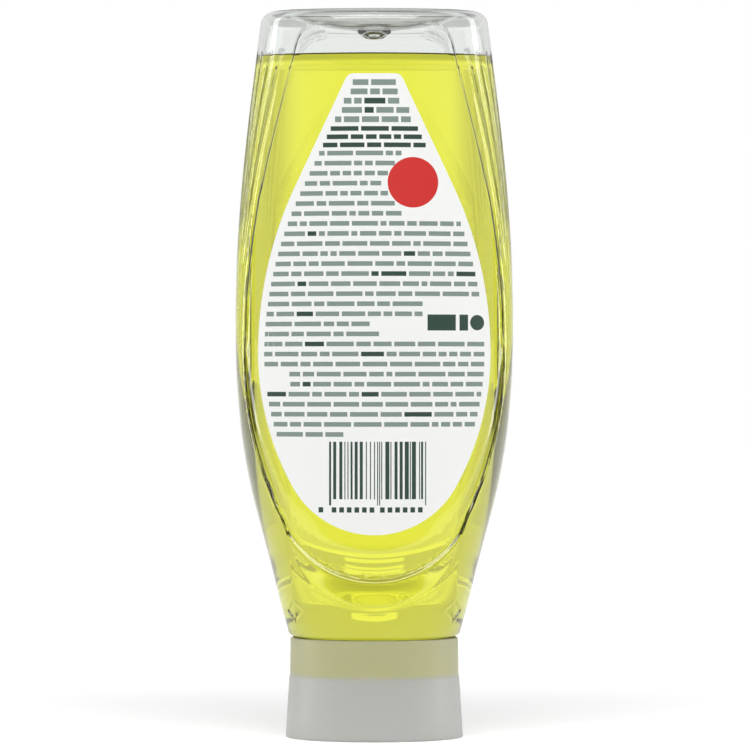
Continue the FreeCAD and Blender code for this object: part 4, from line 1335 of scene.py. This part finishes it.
@dataclass
class Cap:
    """The frosted closure in two bands, which the bottle stands on."""

    height: float = 32.7
    foot_radius: float = 29.1
    band_radius: float = 27.9
    rim_radius: float = 27.6
    step: float = 0.2
    wall: float = 1.4
    deck: float = 20.2
    deck_thickness: float = 1.6
    foot_round: float = 0.6
    rim_round: float = 0.5
    snap_skirt: tuple = (25.65, 24.15)
    snap_top: float = 28.5
    plug_seal: tuple = (21.75, 20.5)
    plug_top: float = 23.6
    nozzle: tuple = (13.0, 11.0)
    seat: tuple = (6.5, 8.0)
    mouth_radius: float = 7.6
    segments: int = 160

    def profile(self) -> list[tuple[float, float]]:
        """Closed half section, from the foot up the outside and back down inside."""
        deck, under = self.deck, self.deck - self.deck_thickness
        foot, rim = self.foot_round, self.rim_round
        inner_foot = self.foot_radius - self.wall
        step_radius = self.band_radius - self.step
        outside = [(inner_foot, 0.15), (inner_foot + 0.2, 0.0)]
        for turn in np.linspace(-math.pi / 2, 0, 6):
            outside.append((self.foot_radius - foot + foot * math.cos(turn),
                            foot + foot * math.sin(turn)))
        for share in (0.25, 0.5, 0.75, 0.97):
            outside.append((self.foot_radius + (self.band_radius - self.foot_radius) * share,
                            foot + (deck - foot) * share))
        outside += [(self.band_radius - 0.02, deck - 0.25), (self.band_radius - 0.08, deck - 0.06),
                    (step_radius, deck), (step_radius, deck + 0.15)]
        for share in (0.3, 0.6, 0.9):
            outside.append((step_radius + (self.rim_radius - step_radius) * share,
                            deck + (self.height - rim - deck) * share))
        for turn in np.linspace(0, math.pi / 2, 6):
            outside.append((self.rim_radius - rim + rim * math.cos(turn),
                            self.height - rim + rim * math.sin(turn)))
        inner_rim = self.rim_radius - self.wall
        (skirt_out, skirt_in), (plug_out, plug_in) = self.snap_skirt, self.plug_seal
        (nozzle_out, nozzle_in), (seat, seat_top) = self.nozzle, self.seat
        inside = [(inner_rim + 0.2, self.height), (inner_rim, self.height - 0.2),
                  (step_radius - self.wall, deck + 0.3), (step_radius - self.wall - 0.3, deck)]
        inside += [(skirt_out, deck), (skirt_out, self.snap_top), (24.25, self.snap_top),
                   (23.65, 27.9), (23.65, 26.8), (skirt_in, 26.3), (skirt_in, deck)]
        inside += [(plug_out, deck), (plug_out, 22.4), (20.9, self.plug_top),
                   (plug_in, self.plug_top), (plug_in, deck)]
        inside += [(nozzle_in, deck), (nozzle_in, seat_top), (self.mouth_radius, seat_top),
                   (self.mouth_radius, seat + 0.2), (self.mouth_radius + 0.2, seat),
                   (nozzle_out - 0.4, seat), (nozzle_out, seat + 0.4),
                   (nozzle_out, under - 0.6), (nozzle_out + 0.6, under)]
        inside += [(self.band_radius - self.wall - 0.5, under),
                   (self.band_radius - self.wall, under - 0.5)]
        return outside + inside

    def build(self) -> bpy.types.Object:
        """Turn the section about the axis."""
        section = self.profile()
        turns = np.linspace(0, 2 * math.pi, self.segments, endpoint=False)
        around = np.column_stack([np.cos(turns), np.sin(turns)])
        grid = np.array([np.column_stack([radius * around, np.full(self.segments, level)])
                         for radius, level in section])
        faces = turned_faces(len(section), self.segments)
        cap = make_piece("cap_shell", grid.reshape(-1, 3), faces,
                         [FrostedPolypropylene().material()])
        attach(cap, "root")
        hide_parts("cap")
        return cap


class Valve:
    """The valve, its retaining ring and the peel-off seal, which keep the CAD's own solids."""

    def dress(self) -> None:
        """Give each node its real material."""
        finishes = {
            "valve": PlainFinish("silicone", "#dcdcd6", 0.5, 1.42, 0.6),
            "valve_retainer": PlainFinish("natural_polypropylene", "#e2e2dc", 0.45, 1.49, 0.3),
            "seal_film": PlainFinish("laminate_film", "#e9e9e4", 0.3, 1.5),
        }
        for name, finish in finishes.items():
            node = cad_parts[name]
            node.data.materials.clear()
            node.data.materials.append(finish.material())
            LOG.info("%s: %s", name, finish.name)


@dataclass(frozen=True)
class Fade:
    """Brightness that goes from 1 at start to level at full, along one part of the direction."""

    along: str
    start: float
    full: float
    level: float


# What rays that have passed through the bottle find in the world: dark in front and at both sides,
# a little dimmer above, and behind the bottle a bright band at table height with a card over it.
# "mirrored" is for the camera's rays and glossy ones: white behind the bottle, grey in front
FADES = {
    "front": Fade("Y", 0.15, -0.15, 0.2),
    "flag": Fade("aside", 0.8, 0.93, 0.2),
    "ceiling": Fade("Z", 0.45, 0.8, 0.7),
    "band_top": Fade("Z", 0.043, 0.05, 0.68),
    "band_foot": Fade("Z", 0.025, 0.01, 0.8),
    "band_end": Fade("aside", 0.28, 0.5, 0.68),
    "card_foot": Fade("Z", 0.056, 0.052, 0.0),
    "card_top": Fade("Z", 0.07, 0.076, 0.0),
    "card_end": Fade("aside", 0.12, 0.16, 0.0),
    "mirrored": Fade("Y", 0.1, -0.2, 0.35),
}
# How the brightnesses are joined, one after the other: result, operation and the two joined
JOINS = (
    ("band", "MINIMUM", "band_top", "band_foot"),
    ("band", "MINIMUM", "band", "band_end"),
    ("card", "MULTIPLY", "card_foot", "card_top"),
    ("card", "MULTIPLY", "card", "card_end"),
    ("backdrop", "MAXIMUM", "band", "card"),
    ("through", "MULTIPLY", "front", "flag"),
    ("through", "MULTIPLY", "through", "ceiling"),
    ("through", "MULTIPLY", "through", "backdrop"),
)


@dataclass
class Studio:
    """World and floor, a soft box above the camera, a strip at each side, and the camera."""

    camera_distance: float = 1.770
    eye_level: float = 0.1204
    lens: float = 258.6
    shift_x: float = 0.00093
    shift_y: float = -0.00667
    ambient: float = 0.3
    box_place: tuple = (0.0, -1.0, 1.1)
    box_size: tuple = (1.2, 0.6)
    box_power: float = 12.5
    strip_place: tuple = (1.48, 0.26, 0.3)
    strip_size: tuple = (0.4, 1.4)
    strip_power: float = 8.0
    floor_reach: float = 6000.0
    floor_drop: float = 0.02
    shadow_near: float = 0.12
    shadow_far: float = 0.9
    floor_near: float = 0.36
    floor_far: float = 0.92
    floor_through: float = 0.85

    def camera(self) -> None:
        """Place the camera in front of the small-print label, level with the bottle's middle."""
        data = bpy.data.cameras.new("camera")
        data.lens, data.sensor_width = self.lens, 36.0
        data.shift_x, data.shift_y = self.shift_x, self.shift_y
        data.clip_end = 100.0
        camera = bpy.data.objects.new("camera", data)
        camera.location = (0, -self.camera_distance, self.eye_level)
        camera.rotation_euler = (math.radians(90), 0, 0)
        bpy.context.scene.collection.objects.link(camera)
        bpy.context.scene.camera = camera

    def world(self) -> None:
        """White behind the bottle, dimmer as a light, and uneven for rays that pass through it."""
        world = bpy.data.worlds.new("studio")
        world.use_nodes = True
        tree = world.node_tree
        tree.nodes.clear()
        place = add_node(tree, "ShaderNodeTexCoord")
        axes = add_node(tree, "ShaderNodeSeparateXYZ", {0: place.outputs["Generated"]})
        aside = add_node(tree, "ShaderNodeMath", {0: axes.outputs["X"]}, operation="ABSOLUTE")
        parts = {"aside": aside.outputs[0], "Y": axes.outputs["Y"], "Z": axes.outputs["Z"]}
        level = {}
        for name, fade in FADES.items():
            rising = fade.start > fade.full
            level[name] = add_node(tree, "ShaderNodeMapRange", {
                "Value": parts[fade.along],
                "From Min": min(fade.start, fade.full),
                "From Max": max(fade.start, fade.full),
                "To Min": fade.level if rising else 1.0,
                "To Max": 1.0 if rising else fade.level,
            }, interpolation_type="SMOOTHSTEP").outputs[0]
        for name, operation, first, second in JOINS:
            level[name] = add_node(tree, "ShaderNodeMath", {
                0: level[first], 1: level[second]}, operation=operation).outputs[0]
        path = add_node(tree, "ShaderNodeLightPath")
        plain = add_node(tree, "ShaderNodeMath", {
            0: path.outputs["Is Camera Ray"],
            1: path.outputs["Is Glossy Ray"],
        }, operation="MAXIMUM")
        base = add_node(tree, "ShaderNodeMapRange", {
            "Value": plain.outputs[0],
            "To Min": self.ambient,
            "To Max": level["mirrored"],
        })
        shown = add_node(tree, "ShaderNodeMapRange", {
            "Value": path.outputs["Is Transmission Ray"],
            "To Min": base.outputs[0],
            "To Max": level["through"],
        })
        light = add_node(tree, "ShaderNodeBackground", {
            "Color": linear("#ffffff"),
            "Strength": shown.outputs[0],
        })
        add_node(tree, "ShaderNodeOutputWorld", {"Surface": light.outputs[0]})
        bpy.context.scene.world = world

    def floor(self) -> None:
        """A pale floor that keeps the object's shadow and runs into the white background."""
        material, tree = new_material("pale_floor")
        path = add_node(tree, "ShaderNodeLightPath")
        plain = add_node(tree, "ShaderNodeMath", {
            0: path.outputs["Is Camera Ray"],
            1: path.outputs["Is Glossy Ray"],
        }, operation="MAXIMUM")
        seen = add_node(tree, "ShaderNodeMapRange", {
            "Value": path.outputs["Is Transmission Ray"],
            "To Min": plain.outputs[0],
            "To Max": self.floor_through,
        })
        place = add_node(tree, "ShaderNodeTexCoord")
        away = add_node(tree, "ShaderNodeVectorMath", {0: place.outputs["Object"]},
                        operation="LENGTH")
        level = add_node(tree, "ShaderNodeMapRange", {
            "Value": away.outputs["Value"],
            "From Min": self.shadow_near,
            "From Max": self.shadow_far,
            "To Min": self.floor_near,
            "To Max": self.floor_far,
        }, interpolation_type="SMOOTHSTEP")
        lift = add_node(tree, "ShaderNodeMath", {
            0: seen.outputs[0],
            1: level.outputs[0],
        }, operation="MULTIPLY")
        # Painted shade: rays that have passed through the bottle find the floor a darker grey with
        # a weaker glow, which darkens the bottle's lower half.
        tone = add_node(tree, "ShaderNodeMix", {
            0: path.outputs["Is Transmission Ray"],
            6: linear("#f4f4f4"),
            7: linear("#949494"),
        }, data_type="RGBA")
        matte = add_node(tree, "ShaderNodeBsdfDiffuse", {"Color": tone.outputs[2]})
        glow = add_node(tree, "ShaderNodeEmission", {
            "Color": linear("#ffffff"),
            "Strength": lift.outputs[0],
        })
        both = add_node(tree, "ShaderNodeAddShader", {0: matte.outputs[0], 1: glow.outputs[0]})
        add_node(tree, "ShaderNodeOutputMaterial", {"Surface": both.outputs[0]})
        reach, drop = self.floor_reach, self.floor_drop
        corners = ((-reach, -reach, -drop), (reach, -reach, -drop),
                   (reach, reach, -drop), (-reach, reach, -drop))
        floor = make_piece("floor", np.array(corners), [(0, 1, 2, 3)], [material], smooth=False)

    def lamp(self, name: str, place: tuple, size: tuple, power: float) -> None:
        """Add a soft lamp that faces the bottle.

        Args:
            name: The lamp's name.
            place: Where it hangs, in metres.
            size: Its width and height, in metres.
            power: Its power in watts.
        """
        data = bpy.data.lights.new(name, "AREA")
        data.shape, data.energy = "RECTANGLE", power
        data.size, data.size_y = size
        lamp = bpy.data.objects.new(name, data)
        lamp.location = place
        target = np.array((0, 0, self.eye_level)) - np.array(place)
        lamp.rotation_euler = (math.acos(-target[2] / np.linalg.norm(target)), 0,
                               math.atan2(target[1], target[0]) - math.pi / 2)
        lamp.visible_transmission = False
        bpy.context.scene.collection.objects.link(lamp)

    def build(self) -> None:
        """Set up everything that isn't the object."""
        self.camera()
        self.world()
        self.floor()
        self.lamp("soft_box", self.box_place, self.box_size, self.box_power)
        aside, front, up = self.strip_place
        self.lamp("strip_left", (-aside, front, up), self.strip_size, self.strip_power)
        self.lamp("strip_right", (aside, front, up), self.strip_size, self.strip_power)
        scene = bpy.context.scene
        scene.view_settings.view_transform = "Standard"
        scene.cycles.transmission_bounces = 24
        scene.cycles.max_bounces = 32
        scene.cycles.transparent_max_bounces = 16


def main() -> None:
    """Build the object and its studio, piece by piece."""
    logging.basicConfig(level=logging.INFO, format="%(name)s: %(message)s")
    form = BottleForm(cap_height=32.7, top=238.0)
    bottle = Bottle(form)
    bottle.build()
    Soap(bottle).build()
    BackLabel(form, Facing.SMALL_PRINT).build()
    FrontLabel(form, Facing.COLOUR_FIELDS).build()
    Cap().build()
    Valve().dress()
    Studio().build()


if __name__ == "__main__":
    main()
